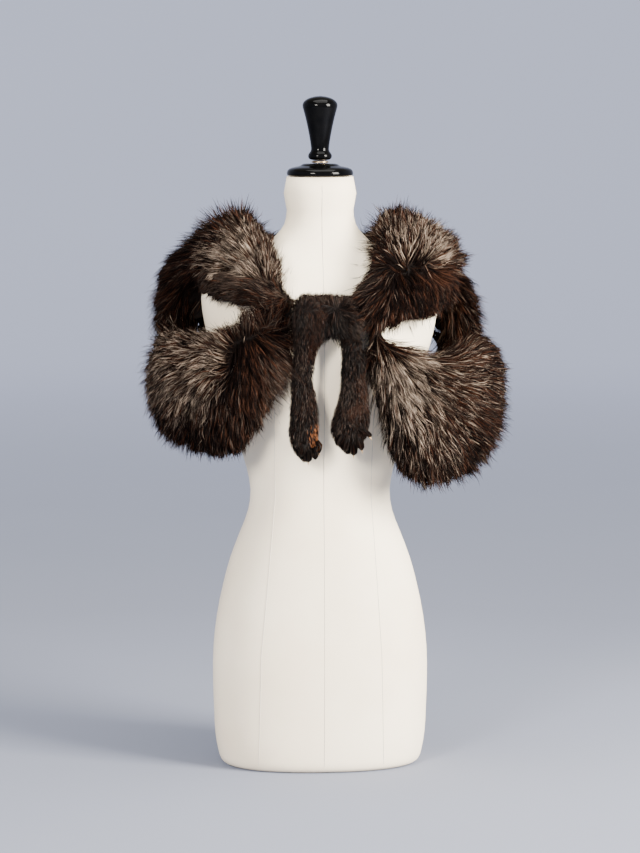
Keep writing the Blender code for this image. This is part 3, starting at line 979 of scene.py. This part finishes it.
# %% Hide finish
HIDE_THICK = 1.6 * MM
HIDE_CLEAR = 1.4 * MM
HIDE_TONES = [(0.35, 0.0016, 0.0009, 0.0007), (0.65, 0.0045, 0.0024, 0.0017)]

hide_dark = grained_finish(
    "dark hide", {"Roughness": 0.9, "Specular IOR Level": 0.1},
    160.0, 5.0, HIDE_TONES, bump=(0.6, 0.0015),
)
print("hide", hide_dark.name)

# %% Hides cut from the guide
def sink(points, normals, depth):
    """Move points in by the depth of the roots, but never near the form."""
    moved = points - normals * depth
    clear = HIDE_CLEAR + HIDE_THICK
    for i, place in enumerate(moved):
        spot, normal, _, far = form_tree.find_nearest(Vector(place))
        inside = (Vector(place) - spot).dot(normal) < 0
        if inside or far < clear:
            moved[i] = spot + normal * clear
    return moved


def make_hide(node, depth):
    skin = paw_guide if node in SHORT_PIECES else hide_guide
    chosen = skin.faces_of(node)
    if node in SHORT_PIECES:
        chosen = chosen[skin.seen[chosen] > 0]
    faces = skin.faces[chosen]
    used, index = np.unique(faces, return_inverse=True)
    places = sink(skin.points[used], skin.point_normals[used], depth)
    mesh = bmesh.new()
    verts = [mesh.verts.new(p) for p in places]
    for face in index.reshape(faces.shape):
        mesh.faces.new([verts[i] for i in face])
    smooth_points(mesh, 1)
    item = new_piece("hide_" + node, mesh, hide_dark)
    wall = item.modifiers.new("leather", "SOLIDIFY")
    wall.thickness = HIDE_THICK
    wall.offset = -1.0
    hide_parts(node)
    return item


def fur_slot(node):
    if node in SHORT_PIECES:
        return "sleek_fur"
    if node.startswith(("side", "under")):
        return "dark_fur"
    return "silver_fur"


hides = {}
for node in FUR_NODES:
    hides[node] = make_hide(node, named(HAIR, HAIR_ROWS[node])["depth"] * MM)
    leather = hides[node].data.polygons
    print(hides[node].name, "faces", len(leather), "area", round(sum(f.area for f in leather), 4))

# %% [markdown]
# ## Hair colour
#
# Silver fox hair is dark at the root, cream in a band above the middle and
# black at the tip. The other hairs are near-black, red-brown, soft grey or, on
# one paw, orange; on the legs the soft grey hairs are painted sheen. Each hair
# has its own column on a small map, and the material is worked out from that
# map alone: across is the kind of hair and how bright it is, and up is the way
# from root to tip. How bright a hair is comes mostly from its lock: dim locks
# are partly the fur's own uneven tone and partly painted shade of deep locks.

# %% Hair finish
COLUMNS = 64
KINDS = {
    # name: first column, number of columns, from dim to bright
    "silver": (0, 20), "tipped": (20, 10), "dark": (30, 12), "russet": (42, 8),
    "grey": (50, 8), "orange": (58, 6),
}
KIND_EDGE = 0.02                # of a column, where the ramp turns from one kind to the next
HAIR_RAMPS = {
    # place from root to tip, and the colour there
    "silver": [
        (0.00, 0.010, 0.006, 0.005), (0.30, 0.045, 0.027, 0.018), (0.46, 0.215, 0.160, 0.115),
        (0.80, 0.330, 0.260, 0.200), (0.93, 0.230, 0.170, 0.125), (1.00, 0.050, 0.032, 0.024),
    ],
    "tipped": [
        (0.00, 0.006, 0.004, 0.003), (0.34, 0.020, 0.012, 0.008), (0.48, 0.200, 0.150, 0.108),
        (0.68, 0.270, 0.210, 0.160), (0.80, 0.030, 0.018, 0.013), (1.00, 0.004, 0.0025, 0.0022),
    ],
    "dark": [
        (0.0, 0.0020, 0.0010, 0.0007), (0.5, 0.0036, 0.0015, 0.0010), (1.0, 0.0020, 0.0011, 0.0010),
    ],
    "russet": [
        (0.0, 0.0060, 0.0026, 0.0016), (0.6, 0.045, 0.0180, 0.0096), (1.0, 0.017, 0.0078, 0.0054),
    ],
    "grey": [
        (0.0, 0.012, 0.0075, 0.0055), (0.6, 0.070, 0.049, 0.037), (1.0, 0.040, 0.028, 0.022),
    ],
    "orange": [
        (0.0, 0.060, 0.020, 0.008), (0.6, 0.30, 0.105, 0.036), (1.0, 0.20, 0.070, 0.027),
    ],
}


def shade_stops():
    """A ramp from dim to bright over each kind's columns."""
    stops = []
    for first, many in KINDS.values():
        stops.append(((first + KIND_EDGE) / COLUMNS, 0, 0, 0))
        stops.append(((first + many - KIND_EDGE) / COLUMNS, 1, 1, 1))
    return stops


def hair_finish(name, roughness, gloss, dimmest, brightest):
    finish, tree, shader = new_finish(name, {"Roughness": roughness, "Specular IOR Level": gloss})
    links = tree.links
    place = add_node(tree, "ShaderNodeUVMap", {"uv_map": "OFBake"})
    parts = add_node(tree, "ShaderNodeSeparateXYZ")
    links.new(place.outputs["UV"], parts.inputs["Vector"])
    colour = None
    for kind, (first, _) in KINDS.items():
        own = colour_ramp(tree, parts.outputs["Y"], HAIR_RAMPS[kind])
        if colour is None:
            colour = own
            continue
        chosen = add_node(
            tree, "ShaderNodeMath", {"operation": "GREATER_THAN"}, {1: first / COLUMNS},
        )
        links.new(parts.outputs["X"], chosen.inputs[0])
        mix = add_node(tree, "ShaderNodeMix", {"data_type": "RGBA"})
        links.new(chosen.outputs["Value"], mix.inputs["Factor"])
        links.new(colour, mix.inputs["A"])
        links.new(own, mix.inputs["B"])
        colour = mix.outputs["Result"]
    toned = add_node(tree, "ShaderNodeVectorMath", {"operation": "SCALE"})
    links.new(colour, toned.inputs[0])
    # Brightness over each kind's columns; the dim end is partly painted shade, for the shadow deep among
    # locks, and partly the fur's own uneven tone.
    shade = colour_ramp(tree, parts.outputs["X"], shade_stops())
    remap(tree, shade, toned.inputs["Scale"], dimmest, brightest)
    links.new(toned.outputs["Vector"], shader.inputs["Base Color"])
    return finish


# The wide range from dimmest to brightest is partly painted shade of deep locks.
long_hair = hair_finish("guard hair", 0.50, 0.02, 0.18, 1.15)
sleek_hair = hair_finish("short hair", 0.42, 0.05, 0.20, 0.80)
print("hair columns", COLUMNS)

# %% [markdown]
# ## Hair
#
# A hair is a ribbon of three pieces that ends in a point. It starts at its
# root, about as deep as the hide, and walks along the guide in three steps, the
# way the comb says, rising as it goes. Past an edge it carries straight on, so
# tips stand out against the backdrop. Neighbours draw together in locks, as
# real guard hair does. One ribbon is seven points, so arrays make them all at
# once, and a piece's hair is one joined mesh.

# %% Hairs that walk along the guide
STEPS = 3
ROOT_SHARES = (1.0, 0.62, 0.15, 0.0)    # of the root's depth left at each point
TIP_SHARES = (0.0, 0.38, 0.85, 1.0)     # of the tip's rise reached at each point
LIFT_AHEAD = 0.6                # of the next rise, looked for before a step
KEEP_HEADING, NEW_HEADING = 0.55, 0.45  # how a hair turns to the way it just went
HUG = 0.6                       # how much of a dive back to the skin is straightened
STIFF = 0.75
LOCK_SPACING = 8 * MM
WANDER = 0.32
DRIFT_SCALE = 34 * MM
DRIFT_WAVES = 9                 # three for each direction
DRIFT_SIZE = 1.8
LEAST_SEEN = 0.06
FRONT_EXTRA = 0.7
STAND = 0.5
HAIR_WIDTH = 0.95 * MM
RIBBON = (0.75, 1.0, 0.72)      # share of the width at each step, before the tip
RIM_KINDS = (("dark", 1.0), ("russet", 0.26), ("grey", 0.10))   # each over the one before


def random_unit(count):
    return unit(random.normal(size=(count, 3)))


def along(ways, normals):
    """Each way without what would run into the surface."""
    into = np.minimum((ways * normals).sum(axis=1, keepdims=True), 0)
    return unit(ways - into * normals + 1e-6)


DRIFT_TURNS = random_unit(DRIFT_WAVES) * random.uniform(0.6, 1.6, (DRIFT_WAVES, 1))
DRIFT_PHASES = random.uniform(0, 2 * math.pi, DRIFT_WAVES)


def drift(spots):
    """Three smooth waves over the surface, each from about -1 to 1."""
    waves = np.sin(spots @ DRIFT_TURNS.T * (2 * math.pi / DRIFT_SCALE) + DRIFT_PHASES)
    return waves.reshape(len(spots), 3, 3).sum(axis=2) / DRIFT_SIZE


def walk(skin, spots, normals, ways, length, depth, rise, reach):
    """Points of hairs from root to tip, as an array of hairs by points by xyz."""
    heights = [tip * rise - root * depth for root, tip in zip(ROOT_SHARES, TIP_SHARES)]
    here = spots + normals * heights[0][:, None]
    line = [here]
    heading = ways
    for step in range(1, STEPS + 1):
        lift = (heights[step] - heights[step - 1])[:, None]
        ahead = here + heading * (length / STEPS)[:, None]
        ahead = ahead + normals * np.maximum(lift, 0) * LIFT_AHEAD
        spot, normal, height = skin.nearest(ahead)
        wanted = heights[step]
        over = np.maximum(height - wanted, 0)
        kept = wanted + np.minimum(over * STIFF, reach * step / STEPS)
        direction = np.where((height > MM)[:, None], unit(ahead - spot), normal)
        there = spot + direction * kept[:, None]
        heading = unit(KEEP_HEADING * heading + NEW_HEADING * unit(there - here))
        dive = np.minimum((heading * normal).sum(axis=1), 0)[:, None]
        heading = unit(heading - HUG * dive * normal)
        line.append(there)
        here, normals = there, normal
    return np.stack(line, axis=1)


def scatter_roots(skin, piece, count):
    """Random places on a piece's part of a guide, more of them at the front."""
    faces = skin.faces_of(piece)
    front = 1.0 + FRONT_EXTRA * (skin.normals[faces][:, 1] < -0.15)
    weight = skin.area[faces] * (LEAST_SEEN + (1 - LEAST_SEEN) * skin.seen[faces] ** 0.7) * front
    picked = random.choice(faces, size=count, p=weight / weight.sum())
    corners = skin.faces[picked]
    u, v = random.random((2, count, 1))

    def blend(values):
        a, b, c, d = (values[corners[:, i]] for i in range(4))
        return (a * (1 - u) + b * u) * (1 - v) + (d * (1 - u) + c * u) * v

    return blend(skin.points), unit(blend(skin.point_normals))


def lock_centres(spots, spacing):
    """A few of the roots, one for each cell of a grid."""
    cells = {}
    for number, key in enumerate(map(tuple, np.floor(spots / spacing).astype(int))):
        cells.setdefault(key, number)
    return np.array(sorted(cells.values()))


def nearest_lock(spots, centres):
    tree = KDTree(len(centres))
    for number, place in enumerate(centres):
        tree.insert(place, number)
    tree.balance()
    return np.array([tree.find(p)[1] for p in spots])


# The orange patch on one paw, in metres: its middle across and up, half its sizes;
# and the share of orange hairs at its middle, and how fast that fades.
PAW_PATCH = (-0.014, 0.547, 0.014, 0.021)
PATCH_SHARE, PATCH_FADE = 0.70, 0.55
SLEEK_TONE, SLEEK_WAVE, SLEEK_NOISE = 0.45, 0.35, 0.10
LOCK_SHARE = 0.75               # of a hair's tone that comes from its lock
SILVER_DIM, SILVER_GAIN = 0.55, 0.75    # silver in the dimmest lock, and what tone adds
MOST_SILVER = 0.92
RUSSET_BESIDE, GREY_BESIDE = 0.25, 0.55     # brown and grey hairs among the silver ones
FULL_SILVER = 0.68              # share of silver hairs without a dark tip


def pick_columns(piece, middle, lock, wave):
    """Choose each hair's kind and column from the marks and its lock's tone."""
    count = len(middle)
    silver, russet, grey = combs[piece].read(middle, combs[piece].tones, TONE_POWER).T
    draw = random.random(count)
    if fur_slot(piece) == "sleek_fur":
        tone = SLEEK_TONE + SLEEK_WAVE * wave + random.normal(0, SLEEK_NOISE, count)
        tone = np.clip(tone, 0, 1)
        lock_tone = tone
    else:
        # A random tone for each lock: partly the fur's own uneven colour, partly painted shade, dim locks
        # standing in for shadow among deep locks.
        lock_tone = random.random(lock.max() + 1)[lock]
        tone = np.clip(LOCK_SHARE * lock_tone + (1 - LOCK_SHARE) * random.random(count), 0, 1)
    silver = np.clip(silver * (SILVER_DIM + SILVER_GAIN * lock_tone), 0, 1) * MOST_SILVER
    russet = (russet + RUSSET_BESIDE * silver) * (1 - silver)
    grey = (grey + GREY_BESIDE * silver) * (1 - silver)
    kind = np.full(count, "dark", dtype="<U8")
    # Each kind takes over from the one before, up to a lower share.
    for name, share in (
        ("russet", silver + grey + russet), ("grey", silver + grey),
        ("tipped", silver), ("silver", silver * FULL_SILVER),
    ):
        kind[draw < share] = name
    if piece == "leg_right":
        off = np.hypot((middle[:, 0] - PAW_PATCH[0]) / PAW_PATCH[2],
                       (middle[:, 2] - PAW_PATCH[1]) / PAW_PATCH[3])
        kind[draw < PATCH_SHARE - PATCH_FADE * off] = "orange"
    first, many = np.array([KINDS[k] for k in kind]).T
    return first + np.minimum((tone * many).astype(int), many - 1)


print("hair ribbon points", STEPS * 2 + 1)

# %% Ribbons into one mesh
RIBBON_FACES = (4, 4, 3)                # corners of the two quads and the tip
RIBBON_CORNERS = np.array([0, 1, 3, 2, 2, 3, 5, 4, 4, 5, 6])
RIBBON_UP = np.array([0, 0, 0.34, 0.34, 0.67, 0.67, 1.0])
RIBBON_ACROSS = np.array([0.25, 0.75, 0.25, 0.75, 0.25, 0.75, 0.5])
MAP_EDGE = 0.005                # keeps the map off its upper and lower ends
MOST_TWIST = 1.05


def ribbon_mesh(name, lines, normals, width, column):
    count = len(lines)
    run = np.empty_like(lines)
    run[:, 1:-1] = lines[:, 2:] - lines[:, :-2]
    run[:, 0] = lines[:, 1] - lines[:, 0]
    run[:, -1] = lines[:, -1] - lines[:, -2]
    run = unit(run)
    twist = random.uniform(-MOST_TWIST, MOST_TWIST, count)[:, None, None]
    flat = unit(np.cross(run, normals[:, None, :]))
    stand = np.cross(flat, run)
    side = flat * np.cos(twist) + stand * np.sin(twist)
    half = (width[:, None] * np.array(RIBBON) / 2)[:, :, None]
    each = 2 * STEPS + 1
    points = np.empty((count, each, 3))
    points[:, 0:-1:2] = lines[:, :-1] - side[:, :-1] * half
    points[:, 1:-1:2] = lines[:, :-1] + side[:, :-1] * half
    points[:, -1] = lines[:, -1]
    loops = (np.arange(count)[:, None] * each + RIBBON_CORNERS).ravel()
    face_starts = np.cumsum((0,) + RIBBON_FACES[:-1])
    starts = (np.arange(count)[:, None] * len(RIBBON_CORNERS) + face_starts).ravel()
    data = bpy.data.meshes.new(name)
    data.vertices.add(count * each)
    data.vertices.foreach_set("co", points.ravel())
    data.loops.add(len(loops))
    data.loops.foreach_set("vertex_index", loops)
    data.polygons.add(len(starts))
    data.polygons.foreach_set("loop_start", starts)
    data.update(calc_edges=True)
    layer = data.uv_layers.new(name="OFBake")
    places = np.empty((count, len(RIBBON_CORNERS), 2))
    places[:, :, 0] = (column[:, None] + RIBBON_ACROSS[RIBBON_CORNERS]) / COLUMNS
    places[:, :, 1] = MAP_EDGE + (1 - 2 * MAP_EDGE) * RIBBON_UP[RIBBON_CORNERS]
    layer.data.foreach_set("uv", places.ravel())
    data.shade_smooth()
    return data


def hair_piece(name, piece, lines, normals, width, column):
    finish = sleek_hair if fur_slot(piece) == "sleek_fur" else long_hair
    data = ribbon_mesh(name + piece, lines, normals, width, column)
    return add_piece(name + piece, data, finish)


def wild_reach(piece, spots):
    """How much further than its neighbours a lock may stand out, in mm."""
    extra = np.zeros(len(spots))
    for mark in (named(WILD, row) for row in WILD_MARKS.get(piece, ())):
        away = np.hypot(spots[:, 0] / MM - mark["across"], spots[:, 2] / MM - mark["up"])
        extra = np.maximum(extra, mark["extra"] * np.exp(-(away / mark["spread"]) ** 2))
    return extra


print("ribbon faces", len(RIBBON_FACES))

# %% Hair on each piece
# Ranges are the least and the most that chance gives; heights are in mm.
THICK_FUR = 12                  # root depth in mm from which hair varies fully
LONG_LOCKS = 25                 # hair longer than this, in mm, draws in wide locks
SHORT_SPACING = 0.6             # of the spacing of long locks
FINE_BELOW = 30                 # hair shorter than this, in mm, is finer
FINE_SHARE = 0.6
DRIFT_SHARE = 0.22
HAIR_WANDER = 0.5               # of a lock's wander
LENGTHS, LOCK_LENGTHS = (0.72, 1.12), (0.85, 1.15)
DEPTHS = (0.8, 1.1)
WIDTHS = (0.65, 1.15)
LEVEL_WAVE = 1.6
TIP_HEIGHTS, LOCK_HEIGHTS = (-3.5, 2.5), (-4.0, 3.0)
FEW_RAISED = 13.0               # how far the highest locks stand up
FLYAWAYS, WILD_FLYAWAYS = 0.07, 0.004   # share of stray hairs, and what each wild mm adds
STRAY_HEIGHTS = (3, 13)
STRAY_WILD = 0.7
WILD_TAME = 0.12                # how far the other hairs lie down under wild ones
LEAST_REACH, LOCK_REACH = 0.10, 0.25
WILD_REACH, WILD_LEAN, WILD_LENGTH = 0.5, 0.05, 0.8
FLYAWAY_FREE = 0.8              # how much less a stray hair is drawn to its lock
PULLS = (0.6, 1.1)
BESIDE = 0.30                   # of a root's distance from its lock, kept at the tip
RIM_WILD = (3, 12)              # wild mm from which a lock counts as rim
RIM_FIRST_SHADE = 2             # rim hairs leave out the two dimmest columns
PULL = np.array([0, 0.30, 0.72, 0.92])      # how far each point is drawn to the lock
BEND = np.array([0, 0.5, 0.9, -0.6])        # how a hair curls from root to tip


def make_hair(piece):
    row = named(HAIR, HAIR_ROWS[piece])
    count = row["hairs"]
    comb = combs[piece]
    size = min(1.0, row["depth"] / THICK_FUR)
    skin = paw_guide if piece in SHORT_PIECES else guide
    spots, normals = scatter_roots(skin, piece, count)
    waves = drift(spots)
    combed = along(comb.read(spots, comb.ways, WAY_POWER) + DRIFT_SHARE * waves, normals)
    lean = STAND * random.random((count, 1)) ** 2
    ways = along(combed + WANDER * HAIR_WANDER * random_unit(count) + lean * normals, normals)
    length = row["length"] * MM * random.uniform(*LENGTHS, count)
    depth = row["depth"] * MM * random.uniform(*DEPTHS, count)
    level = row["level"] * MM + LEVEL_WAVE * MM * size * waves[:, 0]
    rise = level + random.uniform(*TIP_HEIGHTS, count) * MM * size
    wild = wild_reach(piece, spots)
    flyaway = random.random(count) < FLYAWAYS + WILD_FLYAWAYS * wild
    stray = random.uniform(*STRAY_HEIGHTS, count) * size + STRAY_WILD * wild * random.random(count)
    rise = np.where(flyaway, rise + stray * MM, rise - WILD_TAME * wild * MM)
    reach = (LEAST_REACH + (1 - LEAST_REACH) * random.random(count) ** 1.8) * row["reach"] * MM
    reach = np.where(flyaway, reach + WILD_REACH * wild * MM, reach)
    lines = walk(skin, spots, normals, ways, length, depth, rise, reach)

    # One leading hair for each lock, which the others are drawn to.
    spacing = LOCK_SPACING if row["length"] > LONG_LOCKS else LOCK_SPACING * SHORT_SPACING
    chosen = lock_centres(spots, spacing)
    locks = nearest_lock(spots, spots[chosen])
    some = len(chosen)
    lift = random.uniform(*LOCK_HEIGHTS, some) + FEW_RAISED * random.random(some) ** 6
    lock_rise = level[chosen] + lift * MM * size
    extra = wild_reach(piece, spots[chosen]) * random.random(some) ** 1.3
    lean = STAND * random.random(some) + WILD_LEAN * extra
    lock_ways = combed[chosen] + WANDER * random_unit(some) + lean[:, None] * normals[chosen]
    lock_ways = along(lock_ways, normals[chosen])
    lock_reach = (LOCK_REACH + random.random(some) ** 1.5) * row["reach"]
    lock_lines = walk(
        skin, spots[chosen], normals[chosen], lock_ways,
        (row["length"] + WILD_LENGTH * extra) * MM * random.uniform(*LOCK_LENGTHS, some),
        depth[chosen], lock_rise, (lock_reach + extra) * MM,
    )
    pull = row["gather"] * PULL[None, :, None] * (1 - FLYAWAY_FREE * flyaway)[:, None, None]
    pull = pull * random.uniform(*PULLS, count)[:, None, None]
    beside = BESIDE * (spots - spots[chosen][locks])[:, None, :]
    lines = lines * (1 - pull) + (lock_lines[locks] + beside) * pull
    bend = random_unit(count)[:, None, :] * BEND[None, :, None]
    lines = lines + bend * row["curl"] * MM

    middle = lines[:, 2] * 0.7 + lines[:, 3] * 0.3
    column = pick_columns(piece, middle, locks, waves[:, 1])
    rim = (extra[locks] > random.uniform(*RIM_WILD, count)) | flyaway
    for kind, share in RIM_KINDS:
        first, many = KINDS[kind]
        picked = rim & (random.random(count) < share)
        shade = random.integers(RIM_FIRST_SHADE, many, count)
        column = np.where(picked, first + shade, column)
    width = HAIR_WIDTH * random.uniform(*WIDTHS, count)
    if row["length"] < FINE_BELOW:
        width = width * FINE_SHARE
    return hair_piece("hair_", piece, lines, normals, width, column)


for piece in FUR_NODES:
    make_hair(piece)

# %% [markdown]
# ## Toes and claws
#
# Each paw ends in a fan of toes, and here and there a claw shows. A toe is a
# tuft of short hairs round one bent axis, closing to a point. A claw is a ring
# drawn out and narrowed four times as it bends, which keeps it round and lets
# it curve; a plain cone would stay straight.

# %% Toe tufts
TOE = "across up run rise"
TOE_ROWS = {
    # the tip's place in mm as seen from the front, and the way the toe points
    "leg_left": [
        (17, 532, -0.45, -1.0), (30, 522, -0.15, -1.0), (43, 516, 0.05, -1.0),
        (56, 524, 0.30, -1.0), (69, 544, 0.70, -0.80),
    ],
    "leg_right": [
        (-39, 515, -0.20, -1.0), (-28, 506, 0.0, -1.0), (-17, 510, 0.10, -1.0),
        (-11, 520, 0.20, -1.0),
    ],
}
TOE_LENGTH = 21 * MM
TOE_WIDE = 6.2 * MM
TOE_HAIRS = 360
# Four points from root to tip: how far back, as a share of the length, and mm out.
TOE_AXIS = ((1.0, -1.5), (0.62, 2.2), (0.28, 2.6), (0.0, -1.0))
TOE_SPREAD = np.array([0.8, 1.0, 0.85, 0.25])   # of the width, at the same four points
PAW_FACE = -0.05                # the paws lie further forward than this, in metres
BEFORE_PAWS = 0.14


def toe_axis(toe):
    """Four points from the toe's root to its tip, and the way it points."""
    way = Vector((toe["run"], 0, toe["rise"])).normalized()
    tip = Vector((toe["across"] * MM, 0, toe["up"] * MM))
    look = LOOKS["front"]
    points = []
    for back, out in TOE_AXIS:
        place = tip - way * TOE_LENGTH * back
        hit, normal = paw_guide.tree.ray_cast(place - look, look)[:2]
        if hit is None or hit.y > PAW_FACE:
            spot = paw_guide.tree.find_nearest(place - look * BEFORE_PAWS)[0]
            hit, normal = Vector((place.x, spot.y, place.z)), -look
        points.append(hit + normal * out * MM)
    return points, way


def make_toes(piece):
    lines = []
    for toe in (named(TOE, row) for row in TOE_ROWS[piece]):
        around = random.uniform(0, 2 * math.pi, TOE_HAIRS)
        out = TOE_WIDE * np.sqrt(random.random(TOE_HAIRS))
        ring = np.stack([np.cos(around), 0.8 * np.sin(around), 0.4 * np.sin(around)], axis=1)
        middle = np.array([tuple(p) for p in toe_axis(toe)[0]])[None, :, :]
        lines.append(middle + ring[:, None, :] * out[:, None, None] * TOE_SPREAD[None, :, None])
    lines = np.concatenate(lines)
    count = len(lines)
    normals = np.tile(np.array([0.0, -1.0, 0.0]), (count, 1))
    column = pick_columns(piece, lines[:, 2], np.zeros(count, int), random.normal(0, 0.6, count))
    width = HAIR_WIDTH * random.uniform(0.4, 0.7, count)
    return hair_piece("toes_", piece, lines, normals, width, column)


for piece in TOE_ROWS:
    toes = make_toes(piece)
    print(toes.name, "hairs", TOE_HAIRS * len(TOE_ROWS[piece]))

# %% Claws, drawn out of a ring
CLAW_LENGTH = 7 * MM
CLAW_RADIUS = 1.3 * MM
CLAW_INSET = 0.15               # of its length, set back into the toe
CLAW_SEGMENTS = 8
CLAW_NARROWS = (0.9, 0.8, 0.65, 0.2)
CLAW_BEND = math.radians(9)
CLAW_TONES = [(0.35, 0.30, 0.17, 0.07), (0.65, 0.52, 0.34, 0.17)]
CLAW_TOES = {"leg_left": (2, 3, 4), "leg_right": (1, 3)}


def draw_claw(mesh, axis, way):
    turn = way.to_track_quat("Z", "Y").to_matrix().to_4x4()
    start = Matrix.Translation(axis[3] - way * CLAW_INSET * CLAW_LENGTH) @ turn
    ring = bmesh.ops.create_circle(
        mesh, segments=CLAW_SEGMENTS, radius=CLAW_RADIUS, cap_ends=True,
    )["verts"]
    edges = list({e for v in ring for e in v.link_edges})
    claw = list(ring)
    for narrow in CLAW_NARROWS:
        made = bmesh.ops.extrude_edge_only(mesh, edges=edges)["geom"]
        ring = [v for v in made if isinstance(v, bmesh.types.BMVert)]
        edges = [e for e in made if isinstance(e, bmesh.types.BMEdge)
                 and all(v in ring for v in e.verts)]
        middle = sum((v.co for v in ring), Vector()) / len(ring)
        bmesh.ops.scale(mesh, verts=ring, vec=(narrow,) * 3, space=Matrix.Translation(-middle))
        bmesh.ops.rotate(mesh, verts=ring, cent=middle, matrix=Matrix.Rotation(CLAW_BEND, 3, "X"))
        bmesh.ops.translate(mesh, verts=ring, vec=(0, 0, CLAW_LENGTH / len(CLAW_NARROWS)))
        claw += ring
    bmesh.ops.contextual_create(mesh, geom=edges)
    bmesh.ops.transform(mesh, verts=claw, matrix=start)


def make_claws(piece):
    mesh = bmesh.new()
    for number in CLAW_TOES[piece]:
        draw_claw(mesh, *toe_axis(named(TOE, TOE_ROWS[piece][number])))
    bmesh.ops.recalc_face_normals(mesh, faces=mesh.faces)
    item = new_piece("claws_" + piece, mesh, horn)
    round_off = item.modifiers.new("round", "SUBSURF")
    round_off.levels = round_off.render_levels = 1
    return item


horn = grained_finish("claw horn", {"Roughness": 0.35}, 300.0, 2.0, CLAW_TONES)
for piece in CLAW_TOES:
    claws = make_claws(piece)
    print(claws.name, "faces", len(claws.data.polygons))
